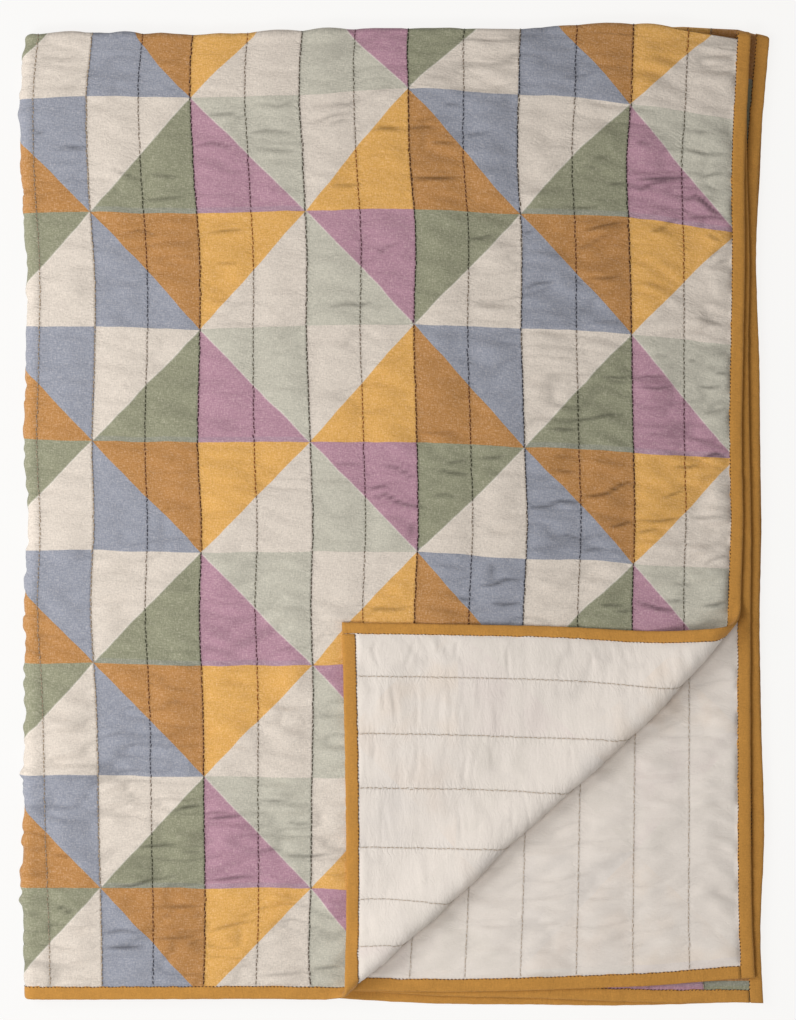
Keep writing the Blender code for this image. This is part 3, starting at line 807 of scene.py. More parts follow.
TURNED_CREASES = [
    Crease(0.3, [(376.5, 638), (373, 650), (379, 667)]),
    Crease(0.35, [(414.6, 640), (411, 655), (405, 668)]),
    Crease(0.25, [(439.5, 640), (438, 655)]),
    Crease(0.3, [(457, 640), (454.5, 658)]),
    Crease(0.3, [(507, 645), (508, 680)]),
    Crease(0.25, [(590, 650), (592, 668)]),
    Crease(0.3, [(383, 685), (384, 700), (383, 712)]),
    Crease(0.35, [(391, 683), (395, 705), (398, 725)]),
    Crease(0.35, [(415, 688), (418, 700), (416, 722), (417, 732)]),
    Crease(0.3, [(462, 690), (458, 715), (463, 733)]),
    Crease(0.25, [(481, 688), (478, 703)]),
    Crease(0.3, [(376, 740), (372, 760)]),
    Crease(0.35, [(418, 740), (417, 765), (410, 785)]),
    Crease(0.35, [(469, 745), (464, 772), (462, 785)]),
    Crease(0.3, [(489, 745), (495, 765)]),
    Crease(0.3, [(569, 745), (571, 762)]),
    Crease(0.3, [(384, 812), (391, 840)]),
    Crease(0.3, [(459, 812), (461, 838)]),
    Crease(0.3, [(513, 805), (511, 830)]),
]


def on_pack(points):
    """Points of the photograph on the folded quilt, to the nearest millimetre, in metres."""
    right = (np.array(points)[:, 0] - PACK_MIDDLE[0]) * MM_PER_PIXEL
    up = (PACK_MIDDLE[1] - np.array(points)[:, 1]) * MM_PER_PIXEL
    return np.stack([np.round(right), np.round(up)], axis=1) / 1000


def to_line(points, x, y):
    """Distance of each place from a line of points, and how far along it that is, from 0 to 1."""
    steps = np.diff(points, axis=0)
    lengths = np.hypot(*steps.T)
    nearest, reached = np.full(len(x), np.inf), np.zeros(len(x))
    run = 0.0
    for start, step, length in zip(points, steps, lengths):
        from_x, from_y = x - start[0], y - start[1]
        t = np.clip((from_x * step[0] + from_y * step[1]) / length**2, 0, 1)
        gap = np.hypot(from_x - t * step[0], from_y - t * step[1])
        closer = gap < nearest
        nearest[closer], reached[closer] = gap[closer], run + t[closer] * length
        run += length
    return nearest, reached / run


def relief(creases, cloth, x, y):
    """Height of the main creases at places of the folded quilt, and how much painted shade darkens
    their lines.
    """
    height, line = np.zeros(len(x)), np.zeros(len(x))
    reach = CREASE_REACH * cloth.crease_width
    for crease in creases:
        points = on_pack(crease.points)
        low, high = np.min(points, axis=0), np.max(points, axis=0)
        near = (x > low[0] - reach) & (x < high[0] + reach)
        near &= (y > low[1] - reach) & (y < high[1] + reach)
        near = np.flatnonzero(near)
        if len(near) == 0:
            continue
        gap, reached = to_line(points, x[near], y[near])
        ends = crease.strength * (1 - (2 * reached - 1) ** 2) ** END_TAPER
        gap = gap / cloth.crease_width
        trough = np.exp(-(gap**2)) - SHOULDER_HEIGHT * np.exp(-((gap - SHOULDER_AT) ** 2))
        height[near] -= cloth.crease_depth * ends * trough
        # painted shade along the bottom of the crease
        line[near] = np.maximum(line[near], ends * np.exp(-((LINE_NARROW * gap) ** 2)))
    return height, line


def raised(side, across, along, cloth):
    """How far one cloth stands off the quilt's middle at each place, with its channels, crinkles and
    creases, and how much painted shade its creases and crinkle lines get there."""
    x, y, z = turned(across, along, *folded(across, along))
    up = half_thickness(across, along)
    puffed = np.clip((up - SEWN) / (CROWN - SEWN), 0, 1)
    lies_free = np.clip((up - EDGE) / (SEWN - EDGE), 0, 1) * mix(AT_STITCHES, 1, puffed)
    height, line = crinkles(across, along)
    upper = (across > LEFT_ARC) & (along > TOP_ARC)
    on_turned = z > STACK_MIDDLE + LEFT_RADIUS + TOP_RADIUS + LAYER_PITCH / 2
    hidden = (across < 0) | ((side > 0) & ((along < 0) | on_turned))
    second = np.where(along < 0, SECOND_CRINKLES * cloth.crinkle_depth, cloth.back_crinkles)
    depth = cloth.crinkle_depth if side > 0 else second
    pressed = soft((STACK_MIDDLE - z) / LEFT_RADIUS) if side > 0 else 0.0
    height = height * np.where(hidden, HIDDEN_CRINKLES, 1.0) * (1 - pressed) * lies_free * depth
    seen = upper & (on_turned if side < 0 else ~on_turned)
    creases = PRINT_CREASES if side > 0 else TURNED_CREASES
    trough, trough_shade = relief(creases, cloth, x[seen], y[seen])
    height[seen] += trough * lies_free[seen]
    # painted shade of the crinkle lines, weaker than in the main creases
    line = line * CRINKLE_SHADE
    line[seen] = np.maximum(line[seen], trough_shade)
    up = LEAST_UP + SOFT_UP * np.logaddexp(0, (up + height - LEAST_UP) / SOFT_UP)
    return up, line


def cloth_object(name, side, columns, rows, cloth):
    """One cloth of the quilt, folded."""
    across, along = np.meshgrid(columns, rows)
    up, line = raised(side, across.ravel(), along.ravel(), cloth)
    piece = grid_object(name, across, along, side * up.reshape(across.shape), side)
    # painted shade of the creases and crinkle lines, read by the materials
    layer = piece.data.attributes.new("creased", "FLOAT", "POINT")
    layer.data.foreach_set("value", line.astype(np.float32))
    return piece


def node(tree, kind, inputs=(), **settings):
    """Adds a shader node, with its settings and what goes into it."""
    made = tree.nodes.new(kind)
    for name, value in settings.items():
        setattr(made, name, value)
    for key, value in dict(inputs).items():
        if isinstance(value, bpy.types.NodeSocket):
            tree.links.new(value, made.inputs[key])
        else:
            made.inputs[key].default_value = value
    return made


def maths(tree, operation, *values):
    """The result of one sum."""
    return node(tree, "ShaderNodeMath", dict(enumerate(values)), operation=operation).outputs[0]


def centred(tree, value):
    """A value from 0 to 1 brought to about 0."""
    return maths(tree, "SUBTRACT", value, 0.5)


def ridged(tree, value):
    """How far a value from 0 to 1 is from its middle, from 0 to 1."""
    return maths(tree, "ABSOLUTE", maths(tree, "MULTIPLY_ADD", value, 2.0, -1.0))


def blended(tree, factor, a, b, how="MIX"):
    """One colour laid over another."""
    inputs = {0: factor, 6: a, 7: b}
    made = node(tree, "ShaderNodeMix", inputs, data_type="RGBA", blend_type=how)
    return made.outputs[2]


def ramped(tree, value, low, high, from_=0.0, to=1.0):
    """A value brought from one range to another, with soft ends."""
    inputs = {"Value": value, "From Min": low, "From Max": high, "To Min": from_, "To Max": to}
    return node(tree, "ShaderNodeMapRange", inputs, interpolation_type="SMOOTHSTEP").outputs[0]


def noise(tree, across, along, cell, detail=2.0, roughness=0.5):
    """Uneven lumps of the size given across and along the cloth."""
    a = maths(tree, "DIVIDE", across, cell[0])
    b = maths(tree, "DIVIDE", along, cell[1])
    place = node(tree, "ShaderNodeCombineXYZ", {0: a, 1: b}).outputs[0]
    inputs = {"Vector": place, "Scale": 1.0, "Detail": detail, "Roughness": roughness}
    return node(tree, "ShaderNodeTexNoise", inputs).outputs["Fac"]


def started(name):
    """A new material with its shader, and places across and along the cloth."""
    material = bpy.data.materials.new(name)
    material.use_nodes = True
    tree = material.node_tree
    shader = tree.nodes["Principled BSDF"]
    for key, value in CLOTH_FINISH.items():
        shader.inputs[key].default_value = value
    flat = node(tree, "ShaderNodeUVMap", uv_map="cloth").outputs[0]
    places = node(tree, "ShaderNodeSeparateXYZ", {0: flat}).outputs
    return material, tree, shader, places[0], places[1]


def weave(tree, across, along, cloth):
    """Plain weave of uneven yarns: how light each place is, about 0, and how high."""
    long = YARN_LONG * cloth.thread
    fleck = FLECK * cloth.thread
    warp = noise(tree, across, along, (cloth.thread, long), 3.0, 0.65)
    weft = noise(tree, across, along, (long, cloth.thread), 3.0, 0.65)
    mottle = noise(tree, across, along, (fleck, fleck), 2.0, 0.6)
    yarns = maths(tree, "ADD", warp, weft)
    uneven = maths(tree, "ADD", yarns, mottle)
    light = maths(tree, "SUBTRACT", uneven, 1.5)
    return light, maths(tree, "MULTIPLY", yarns, cloth.weave_depth)


def line_steps(tree, across):
    """Places across the cloth counted in lines of quilting."""
    return maths(tree, "DIVIDE", maths(tree, "SUBTRACT", across, STITCH_FIRST), STITCH_PITCH)


def on_border(tree, steps):
    """Strength of the painted shade at a line of quilting: 1 on the lines between two columns of the
    print, less on those between.
    """
    odd = maths(tree, "FLOORED_MODULO", maths(tree, "ROUND", steps), 2.0)
    return maths(tree, "MULTIPLY_ADD", odd, BORDER_SHADE - BETWEEN_SHADE, BETWEEN_SHADE)


def puckers(tree, across, along, depth):
    """Fine crinkles: fans of short puckers at each line of quilting, and faint ones between."""
    sway = noise(tree, across, along, PUCKER_SWAY)
    drifted = maths(tree, "MULTIPLY_ADD", sway, PUCKER_DRIFT, along)
    steps = line_steps(tree, across)
    off = maths(tree, "ABSOLUTE", maths(tree, "SUBTRACT", steps, maths(tree, "ROUND", steps)))
    from_line = maths(tree, "MULTIPLY", off, STITCH_PITCH)
    by_line = ramped(tree, from_line, 0.0, PUCKER_REACH, depth, PUCKER_REST * depth)
    short = ridged(tree, noise(tree, across, drifted, PUCKER_CELL, 1.0))
    height = maths(tree, "MULTIPLY", maths(tree, "POWER", short, PUCKER_ROUND), by_line)
    return height, from_line, steps


def finish_shader(tree, shader, colour, height):
    """Colour and surface relief into the shader."""
    bump = node(tree, "ShaderNodeBump", {"Strength": 1.0, "Distance": 1.0, "Height": height})
    tree.links.new(bump.outputs[0], shader.inputs["Normal"])
    tree.links.new(colour, shader.inputs["Base Color"])


def scaled(tree, colour, light, amount):
    """A colour made lighter and darker by an uneven value about 0."""
    grey = maths(tree, "MULTIPLY_ADD", light, amount, 1.0)
    white = node(tree, "ShaderNodeCombineXYZ", {0: grey, 1: grey, 2: grey}).outputs[0]
    return blended(tree, 1.0, colour, white, "MULTIPLY")


def chart(tree, place, colours):
    """The colour at a place from 0 to 1 in a row of colours that share it evenly."""
    ramp = node(tree, "ShaderNodeValToRGB", {0: place})
    ramp.color_ramp.interpolation = "CONSTANT"
    stops = ramp.color_ramp.elements
    stops.remove(stops[-1])
    stops[0].color = colours[0]
    for k in range(1, len(colours)):
        stops.new(k / len(colours)).color = colours[k]
    return ramp.outputs[0]


def printed(tree, across, along, quilt):
    """Colour of the patchwork print at each place: squares halved into triangles."""
    cell, sway = (WANDER_CELL, WANDER_CELL), WANDER_TIMES * quilt.sway
    wander = centred(tree, noise(tree, across, along, cell))
    stray = centred(tree, noise(tree, along, across, cell))
    u = maths(tree, "MULTIPLY_ADD", wander, sway, across)
    v = maths(tree, "MULTIPLY_ADD", stray, sway, along)
    columns = maths(tree, "DIVIDE", maths(tree, "SUBTRACT", u, quilt.first_column), quilt.patch_width)
    rows = maths(tree, "DIVIDE", maths(tree, "SUBTRACT", v, quilt.first_row), quilt.patch_length)
    column = maths(tree, "FLOORED_MODULO", maths(tree, "FLOOR", columns), float(REPEAT_COLUMNS))
    row = maths(tree, "FLOORED_MODULO", maths(tree, "FLOOR", rows), float(REPEAT_ROWS))
    in_column = maths(tree, "FRACT", columns)
    in_row = maths(tree, "FRACT", rows)
    falls = maths(tree, "FLOORED_MODULO", maths(tree, "ADD", column, row), 2.0)
    mirrored = maths(tree, "MULTIPLY_ADD", in_column, -1.0, 1.0)
    rising = maths(tree, "MULTIPLY", in_column, maths(tree, "SUBTRACT", 1.0, falls))
    falling = maths(tree, "MULTIPLY", mirrored, falls)
    past = maths(tree, "ADD", maths(tree, "ADD", rising, falling), maths(tree, "SUBTRACT", in_row, 1.0))
    lower = maths(tree, "GREATER_THAN", past, 0.0)
    which = maths(tree, "MULTIPLY_ADD", row, float(REPEAT_COLUMNS), column)
    which = maths(tree, "MULTIPLY_ADD", which, 2.0, lower)
    place = maths(tree, "DIVIDE", maths(tree, "ADD", which, 0.5), 2.0 * len(PATCHES))
    triangles = [name for patch in PATCHES for name in (patch.upper, patch.lower)]
    colours = [(*getattr(quilt, name), 1) for name in triangles]
    gaps = [(patch.gap, patch.gap, patch.gap, 1) for patch in PATCHES for _ in range(2)]
    height = quilt.patch_width * quilt.patch_length
    height /= float(np.hypot(quilt.patch_width, quilt.patch_length))
    from_diagonal = maths(tree, "MULTIPLY", maths(tree, "ABSOLUTE", past), height)
    line = ramped(tree, from_diagonal, LINE_SURE, LINE_GONE, 1.0, 0.0)
    line = maths(tree, "MULTIPLY", line, chart(tree, place, gaps))
    tinted = [(1.0, 1.0, 1.0, 1) if name in OVERPRINTED else (0.0, 0.0, 0.0, 1) for name in triangles]
    overlap = ramped(tree, in_row, OVERPRINT_FROM, OVERPRINT_TO, 0.0, OVERPRINT)
    overlap = maths(tree, "MULTIPLY", overlap, chart(tree, place, tinted))
    colour = blended(tree, overlap, chart(tree, place, colours), (*quilt.blue, 1))
    return blended(tree, line, colour, (*quilt.bare, 1))


def creased(tree, colour, amount):
    """A colour darkened by painted shade at the bottom of the creases."""
    line = node(tree, "ShaderNodeAttribute", attribute_name="creased").outputs["Fac"]
    return scaled(tree, colour, line, -amount)


def print_material(quilt, cloth):
    """Washed cotton with the patchwork print."""
    material, tree, shader, across, along = started("quilt_print")
    colour = printed(tree, across, along, quilt)
    light, height = weave(tree, across, along, cloth)
    threads = ramped(tree, light, PALE_FROM, PALE_FULL, 0.0, cloth.pale_threads)
    colour = blended(tree, threads, colour, (*quilt.cream, 1))
    colour = scaled(tree, colour, light, cloth.slub)
    crinkled, from_line, steps = puckers(tree, across, along, cloth.puckers)
    ditch = ramped(tree, from_line, *PRINT_DITCH, 0.0)
    colour = scaled(tree, colour, maths(tree, "MULTIPLY", ditch, on_border(tree, steps)), 1.0)
    # painted shade at the bottom of the creases
    colour = creased(tree, colour, cloth.crease_shading)
    finish_shader(tree, shader, colour, maths(tree, "ADD", height, crinkled))
    return material


def back_material(quilt, cloth):
    """The same cotton undyed, with the print just showing through."""
    material, tree, shader, across, along = started("quilt_back")
    through = noise(tree, across, along, GHOST_CELL)
    through = ramped(tree, through, GHOST_FROM, GHOST_FULL, 0.0, cloth.ghost)
    colour = blended(tree, through, (*cloth.back, 1), printed(tree, across, along, quilt))
    light, height = weave(tree, across, along, cloth)
    colour = scaled(tree, colour, light, BACK_SLUB * cloth.slub)
    crinkled, from_line, _ = puckers(tree, across, along, BACK_PUCKERS * cloth.puckers)
    ditch = ramped(tree, from_line, *BACK_DITCH, 0.0)
    colour = scaled(tree, colour, ditch, 1.0)
    # painted shade at the bottom of the creases, weaker on the back
    colour = creased(tree, colour, BACK_CREASE_SHADE * cloth.crease_shading)
    finish_shader(tree, shader, colour, maths(tree, "ADD", height, crinkled))
    return material


def binding_material(cloth):
    """Plain mustard cotton, drawn into small creases across the strip."""
    material, tree, shader, across, along = started("quilt_binding")
    light, height = weave(tree, across, along, cloth)
    patchy = noise(tree, across, along, BINDING_CELL, 3.0)
    colour = scaled(tree, (*cloth.binding, 1), light, BINDING_SLUB * cloth.slub)
    colour = scaled(tree, colour, centred(tree, patchy), BINDING_UNEVEN)
    pinched = ridged(tree, noise(tree, across, along, PINCH_CELL))
    height = maths(tree, "MULTIPLY_ADD", pinched, PINCH_DEPTH, height)
    finish_shader(tree, shader, colour, height)
    return material


def dark_thread(quilt, thread):
    """Thread of the printed face: the print's colour darkened by painted shade of the needle holes,
    darkest along the borders between columns.
    """
    material, tree, shader, across, along = started("dark_thread")
    border = on_border(tree, line_steps(tree, across))
    hole_shade = maths(tree, "MULTIPLY_ADD", border, SHADE_TIMES, SHADE_PLUS)
    colour = printed(tree, across, along, quilt)
    # the print's colour deepened and darkened: painted shade of the needle holes
    tone = scaled(tree, blended(tree, 1.0, colour, colour, "MULTIPLY"), hole_shade, 1.0)
    tone = blended(tree, DARK_SHARE, tone, (*thread.dark, 1))
    pale = ramped(tree, across, PALE_TO, PALE_TO + PALE_FADE, PALE_SHARE, 0.0)
    tone = blended(tree, pale, tone, (*thread.pale, 1))
    return thread_finish(material, tree, shader, across, along, tone)


def plain_thread(name, colour):
    """Thread of one colour."""
    return thread_finish(*started(name), (*colour, 1))


def thread_finish(material, tree, shader, across, along, tone):
    """Sewing thread that is a little uneven along its length."""
    uneven = noise(tree, across, along, THREAD_CELL)
    tone = scaled(tree, tone, centred(tree, uneven), THREAD_UNEVEN)
    finish_shader(tree, shader, tone, maths(tree, "MULTIPLY", uneven, THREAD_RELIEF))
    return material


def mesh_object(name, points, corners, uv=None):
    """A piece from points and faces that all have the same number of corners."""
    count = corners.shape[1]
    mesh = bpy.data.meshes.new(name)
    mesh.vertices.add(len(points))
    mesh.vertices.foreach_set("co", points.astype(np.float32).ravel())
    mesh.loops.add(corners.size)
    mesh.loops.foreach_set("vertex_index", corners.astype(np.int32).ravel())
    mesh.polygons.add(len(corners))
    mesh.polygons.foreach_set("loop_start", np.arange(0, corners.size, count, dtype=np.int32))
    mesh.update(calc_edges=True)
    if uv is not None:
        layer = mesh.uv_layers.new(name="cloth")
        layer.data.foreach_set("uv", uv[corners.ravel()].astype(np.float32).ravel())
    mesh.shade_smooth()
    piece = bpy.data.objects.new(name, mesh)
    bpy.context.scene.collection.objects.link(piece)
    return piece


def grid_corners(rows, columns, wrap=False):
    """Corners of the square faces of a grid of points, closed on itself along its rows or not."""
    index = np.arange(rows * columns).reshape(rows, columns)
    if wrap:
        index = np.concatenate([index, index[:, :1]], axis=1)
    near, far = index[:-1], index[1:]
    return np.stack(
        [near[:, :-1].ravel(), near[:, 1:].ravel(), far[:, 1:].ravel(), far[:, :-1].ravel()], axis=1
    )


def grid_object(name, across, along, up, side):
    """A cloth through a grid of flat places, folded, with its flat places as its UV map."""
    flat = np.stack([across.ravel(), along.ravel(), up.ravel()], axis=1)
    corners = grid_corners(*across.shape)
    if side > 0:
        corners = corners[:, ::-1]
    return mesh_object(name, fold_points(flat), corners, flat[:, :2])


def binding_strip(name, places, end_of):
    """One strip over the edge of the quilt, through the places given, closed at both ends."""
    upper = [(point.inwards, point.height * BIND_HALF) for point in BIND_FACE]
    inner = [(BIND_WIDTH, BIND_INSIDE), (BIND_WALL, BIND_INSIDE)]
    half = inner[::-1] + upper
    profile = half + [(inwards, -height) for inwards, height in reversed(half)]
    inwards = np.array([p[0] for p in profile])
    height = np.array([p[1] for p in profile])
    draw = np.random.default_rng(len(name)).normal(size=(2, len(places)))
    smooth = np.array([0.2, 0.6, 0.2])
    wander, swell = (np.convolve(row, smooth, mode="same") for row in draw)
    at_seam = np.clip(inwards / BIND_WIDTH, 0, 1) ** 4
    depth = inwards[None, :] + (BIND_WANDER + SEAM_WANDER * at_seam[None, :]) * wander[:, None]
    rise = height[None, :] * (1 + BIND_SWELL * swell[:, None])
    across, along = end_of(places[:, None] + 0 * depth, depth)
    flat = np.stack([across.ravel(), along.ravel(), rise.ravel()], axis=1)
    points = fold_points(flat)
    corners = grid_corners(len(places), len(profile), wrap=True)
    uv = np.stack([depth.ravel() + 2 * (rise.ravel() < 0), np.repeat(places, len(profile))], axis=1)
    piece = mesh_object(name, points, corners, uv)
    close_ends(piece)
    return piece


def close_ends(piece):
    """Fills the two open ends of a strip and turns its faces outwards."""
    bpy.ops.object.select_all(action="DESELECT")
    bpy.context.view_layer.objects.active = piece
    piece.select_set(True)
    bpy.ops.object.mode_set(mode="EDIT")
    bpy.ops.mesh.select_mode(type="EDGE")
    bpy.ops.mesh.select_all(action="DESELECT")
    only_rims = {"use_wire": False, "use_multi_face": False, "use_non_contiguous": False}
    bpy.ops.mesh.select_non_manifold(extend=False, use_verts=False, **only_rims)
    bpy.ops.mesh.fill(use_beauty=True)
    bpy.ops.mesh.select_all(action="SELECT")
    bpy.ops.mesh.normals_make_consistent(inside=False)
    bpy.ops.object.mode_set(mode="OBJECT")
    piece.select_set(False)


def edge_places(reach, bent, fine_step):
    """Places from one end of an edge to the other, close together where it is bent."""
    flat = [even(a, b, BIND_STEP) for a, b in ((-reach, -bent), (bent, reach))]
    return np.concatenate([flat[0], even(-bent, bent, fine_step), flat[1], [reach]])


def side_strip(name, side):
    """Strip along one long edge, over the top fold, covering both corners."""
    places = edge_places(HALF_LENGTH, 4 * TOP_ARC, TOP_ARC / 4)
    return binding_strip(name, places, lambda p, i: (side * (HALF_WIDTH - i), p))


def end_strip(name, end):
    """Strip along one short edge, round the left fold, between the side strips."""
    places = edge_places(HALF_WIDTH - BIND_WIDTH - BUTT_GAP, 2 * LEFT_ARC, LEFT_ARC / 6)
    return binding_strip(name, places, lambda p, i: (p, end * (HALF_LENGTH - i)))


Strip = namedtuple("Strip", "name stands_for build end")
STRIPS = [
    Strip("side_strip_right", "binding_side_right", side_strip, 1),
    Strip("side_strip_left", "binding_side_left", side_strip, -1),
    Strip("end_strip_outer", "binding_end_outer", end_strip, 1),
    Strip("end_strip_inner", "binding_end_inner", end_strip, -1),
]


def stitches(name, starts, ends, heights, widths, side):
    """Stitches from start to end, flat places, each a small grain with pointed ends."""
    way = ends - starts
    long = np.linalg.norm(way, axis=1)[:, None]
    way = way / long
    across = np.stack([way[:, 1], -way[:, 0]], axis=1)
    half = widths[:, None] / 2
    lift = half[:, 0] * STITCH_LIFT
    flat = []
    for t, wide in STITCH_SECTIONS:
        spot = starts + way * long * t
        if wide == 0:
            flat.append(np.column_stack([spot, side * heights]))
            continue
        flat.append(np.column_stack([spot + across * half * wide, side * heights]))
        flat.append(np.column_stack([spot, side * (heights + lift)]))
        flat.append(np.column_stack([spot - across * half * wide, side * heights]))
        flat.append(np.column_stack([spot, side * (heights - lift)]))
    each = len(flat)
    flat = np.stack(flat, axis=1).reshape(-1, 3)
    points = fold_points(flat)
    near, far = (1, 2, 3, 4), (5, 6, 7, 8)  # corners round the two wide sections
    grain = []
    for k in range(4):
        m = (k + 1) % 4
        grain += [(0, near[k], near[m]), (near[k], far[k], far[m]), (near[k], far[m], near[m])]
        grain += [(each - 1, far[m], far[k])]
    grain = np.array(grain) if side > 0 else np.array(grain)[:, ::-1]
    corners = (np.arange(len(starts))[:, None, None] * each + grain[None]).reshape(-1, 3)
    return mesh_object(name, points, corners, flat[:, :2])


def quilting(name, side, cloth, thread):
    """Every line of quilting on one face."""
    reach = HALF_LENGTH - SEAM - 0.001
    places = even(-reach, reach, thread.pitch)
    starts, ends, widths = [], [], []
    draw = np.random.default_rng(11)
    for k, line in enumerate(stitch_lines()):
        border = k % 2 == 0
        sway = STITCH_SWAY * draw.normal(size=(2, len(places)))
        begins = places + STITCH_STRAY * draw.normal(size=len(places))
        long = thread.length * (BORDER_LONG if border or side < 0 else BETWEEN_LONG)
        starts.append(np.column_stack([line + sway[0], begins]))
        ends.append(np.column_stack([line + sway[1], begins + long]))
        wide = (BORDER_WIDE if border else BETWEEN_WIDE) if side > 0 else BACK_WIDE
        widths.append(np.full(len(places), thread.width * wide))
    starts, ends, widths = np.concatenate(starts), np.concatenate(ends), np.concatenate(widths)
    centres = (starts + ends) / 2
    heights = raised(side, centres[:, 0], centres[:, 1], cloth)[0] + STITCH_UP
    return stitches(name, starts, ends, heights, widths, side)


def seam_stitches_and_shade(name):
    """The stitches that hold the binding, along its inner edge on both faces, as short dark ticks that
    also stand for the painted shade of the small puckers at the seam.
    """
    reach_side, reach_end = HALF_LENGTH - BIND_WIDTH, HALF_WIDTH - BIND_WIDTH
    side_places = even(-reach_side, reach_side, SEAM_TICK)
    end_places = even(-reach_end, reach_end, SEAM_TICK)
    starts, ends = [], []
    long = SEAM_TICK * SEAM_LENGTH
    for sign in (-1, 1):
        line = 0 * side_places + sign * (reach_end + SEAM_IN)
        starts.append(np.column_stack([line, side_places]))
        ends.append(np.column_stack([line + sign * SEAM_SLANT, side_places + long]))
        line = 0 * end_places + sign * (reach_side + SEAM_IN)
        starts.append(np.column_stack([end_places, line]))
        ends.append(np.column_stack([end_places + long, line + sign * SEAM_SLANT]))
    starts, ends = np.concatenate(starts), np.concatenate(ends)
    heights = np.full(len(starts), BIND_HALF * SEAM_HEIGHT)
    widths = np.full(len(starts), SEAM_WIDTH)
    upper = stitches(name, starts, ends, heights, widths, 1)
    lower = stitches(name + "_under", starts, ends, heights, widths, -1)
    return upper, lower


def settings():
    """The three groups of settings, from the sidebar."""
    scene = bpy.context.scene
    return scene.quilt_print, scene.quilt_cloth, scene.quilt_thread


def dress(piece, material, nodes=()):
    """A finished piece of the quilt: its material, its body and the solids it stands for."""
    piece.data.materials.append(material)
    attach(piece, "root")
    if nodes:
        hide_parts(*nodes)
    return piece


class QUILT_OT_cloths(Operator):
    """Build the printed face and the plain back, quilted and folded"""

    bl_idname = "quilt.cloths"
    bl_label = "Cloths"

    def execute(self, context):
        quilt, cloth, _ = settings()
        columns = cloth_columns(cloth, 0.0)
        rows = cloth_rows(cloth, [(TOP_ARC * 3, HALF_LENGTH - SEAM)])
        face = cloth_object("printed_face", 1, columns, rows, cloth)
        dress(face, print_material(quilt, cloth), ["quilt"])
        columns = cloth_columns(cloth, BACK_ACROSS)
        shown = HALF_LENGTH - BACK_ALONG
        rows = cloth_rows(cloth, [(SEAM - HALF_LENGTH, -shown), (shown, HALF_LENGTH - SEAM)])
        back = cloth_object("plain_back", -1, columns, rows, cloth)
        dress(back, back_material(quilt, cloth), ["quilt"])
        return {"FINISHED"}


class QUILT_OT_quilting(Operator):
    """Sew the lines of quilting, on both faces"""

    bl_idname = "quilt.quilting"
    bl_label = "Quilting"

    def execute(self, context):
        quilt, cloth, thread = settings()
        dark, pale = dark_thread(quilt, thread), plain_thread("pale_thread", thread.pale)
        dress(quilting("quilting_on_print", 1, cloth, thread), dark)
        dress(quilting("quilting_on_back", -1, cloth, thread), pale)
        return {"FINISHED"}


class QUILT_OT_binding(Operator):
    """Bind the quilt's four edges"""

    bl_idname = "quilt.binding"
    bl_label = "Binding"

    def execute(self, context):
        _, cloth, thread = settings()
        # the seam thread is dark for painted shade of the puckers at the binding seam
        mustard, sewn = binding_material(cloth), plain_thread("seam_thread", thread.mustard)
        for piece in seam_stitches_and_shade("binding_stitches"):
            dress(piece, sewn)
        for strip in STRIPS:
            piece = strip.build(strip.name, strip.end)
            dress(piece, mustard, [strip.stands_for])
        return {"FINISHED"}


class QUILT_OT_stage(Operator):
    """Add the pale floor, soft lights and the camera straight above"""

    bl_idname = "quilt.stage"
    bl_label = "Stage"

    def execute(self, context):
        add_floor()
        for light in LIGHTS:
            add_light(*light)
        add_world()
        add_camera()
        context.scene.view_settings.view_transform = "Standard"
        return {"FINISHED"}


def add_floor():
    """A matt floor that glows a little, so that it stays as pale as in the photograph."""
    bpy.ops.object.select_all(action="DESELECT")
    bpy.ops.mesh.primitive_plane_add(size=FLOOR_SIZE, location=(0, 0, 0))
    floor = bpy.context.object
    floor.name = "floor"
    material = bpy.data.materials.new("pale_floor")
    material.use_nodes = True
    shader = material.node_tree.nodes["Principled BSDF"]
    for key, value in FLOOR_FINISH.items():
        shader.inputs[key].default_value = value
    floor.data.materials.append(material)


def add_light(name, place, wide, power):
    """A soft square light aimed at the middle of the quilt."""
    data = bpy.data.lights.new(name, "AREA")
    data.shape = "SQUARE"
    data.size = wide
    data.energy = power
    light = bpy.data.objects.new(name, data)
    light.location = place
    light.rotation_mode = "QUATERNION"
    light.rotation_quaternion = light.location.to_track_quat("Z", "Y")
    bpy.context.scene.collection.objects.link(light)


def add_world():
    """An even pale room round the quilt."""
    world = bpy.context.scene.world or bpy.data.worlds.new("studio")
    bpy.context.scene.world = world
    world.use_nodes = True
    background = world.node_tree.nodes["Background"]
    background.inputs["Color"].default_value = ROOM_LIGHT
    background.inputs["Strength"].default_value = ROOM_STRENGTH


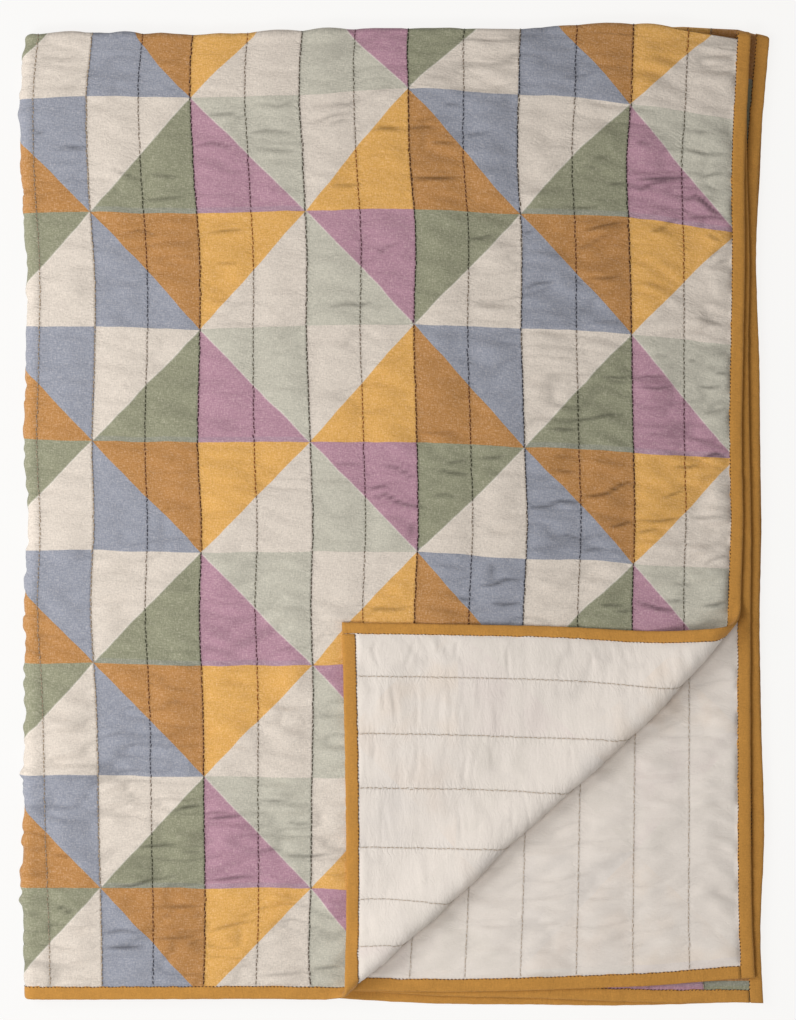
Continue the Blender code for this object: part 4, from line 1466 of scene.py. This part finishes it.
def add_camera():
    """Straight above, so far off that the layers line up as in the photograph."""
    data = bpy.data.cameras.new("camera")
    data.sensor_width = SENSOR
    data.lens = SENSOR * CAMERA_HEIGHT / (IMAGE[1] * MM_PER_PIXEL / 1000)
    data.clip_end = 4 * CAMERA_HEIGHT
    camera = bpy.data.objects.new("camera", data)
    middle_x = (IMAGE[0] / 2 - PACK_MIDDLE[0]) * MM_PER_PIXEL / 1000
    middle_y = (PACK_MIDDLE[1] - IMAGE[1] / 2) * MM_PER_PIXEL / 1000
    camera.location = (middle_x + SHIFT[0], middle_y + SHIFT[1], STACK_TOP + CAMERA_HEIGHT)
    bpy.context.scene.collection.objects.link(camera)
    bpy.context.scene.camera = camera


OPERATORS = (QUILT_OT_cloths, QUILT_OT_quilting, QUILT_OT_binding, QUILT_OT_stage)


class QUILT_PT_sidebar(Panel):
    """Settings and steps of the quilt"""

    bl_label = "Folded quilt"
    bl_idname = "QUILT_PT_sidebar"
    bl_space_type = "VIEW_3D"
    bl_region_type = "UI"
    bl_category = "Quilt"

    def draw(self, context):
        layout = self.layout
        for group in settings():
            for name in group.__annotations__:
                layout.prop(group, name)
        for operator in OPERATORS:
            layout.operator(operator.bl_idname)


GROUPS = {"quilt_print": QuiltPrint, "quilt_cloth": QuiltCloth, "quilt_thread": QuiltThread}
CLASSES = (*GROUPS.values(), *OPERATORS, QUILT_PT_sidebar)


def register():
    """Adds the settings, the operators and the sidebar."""
    for cls in CLASSES:
        bpy.utils.register_class(cls)
    for name, group in GROUPS.items():
        setattr(bpy.types.Scene, name, PointerProperty(type=group))


def unregister():
    """Takes them away again."""
    for name in GROUPS:
        delattr(bpy.types.Scene, name)
    for cls in reversed(CLASSES):
        bpy.utils.unregister_class(cls)


def declare_sheets():
    """Lists the names of the threads, binding strips and binding stitches; the list is not used
    further.
    """
    names = ["quilting_on_back", *(strip.name for strip in STRIPS)]
    names += ["binding_stitches", "binding_stitches_under"]


def main():
    """Builds the quilt and its stage, step by step."""
    register()
    bpy.ops.object.select_all(action="DESELECT")
    bpy.ops.quilt.cloths()
    bpy.ops.quilt.quilting()
    bpy.ops.quilt.binding()
    bpy.ops.quilt.stage()
    declare_sheets()


if __name__ == "__main__":
    main()
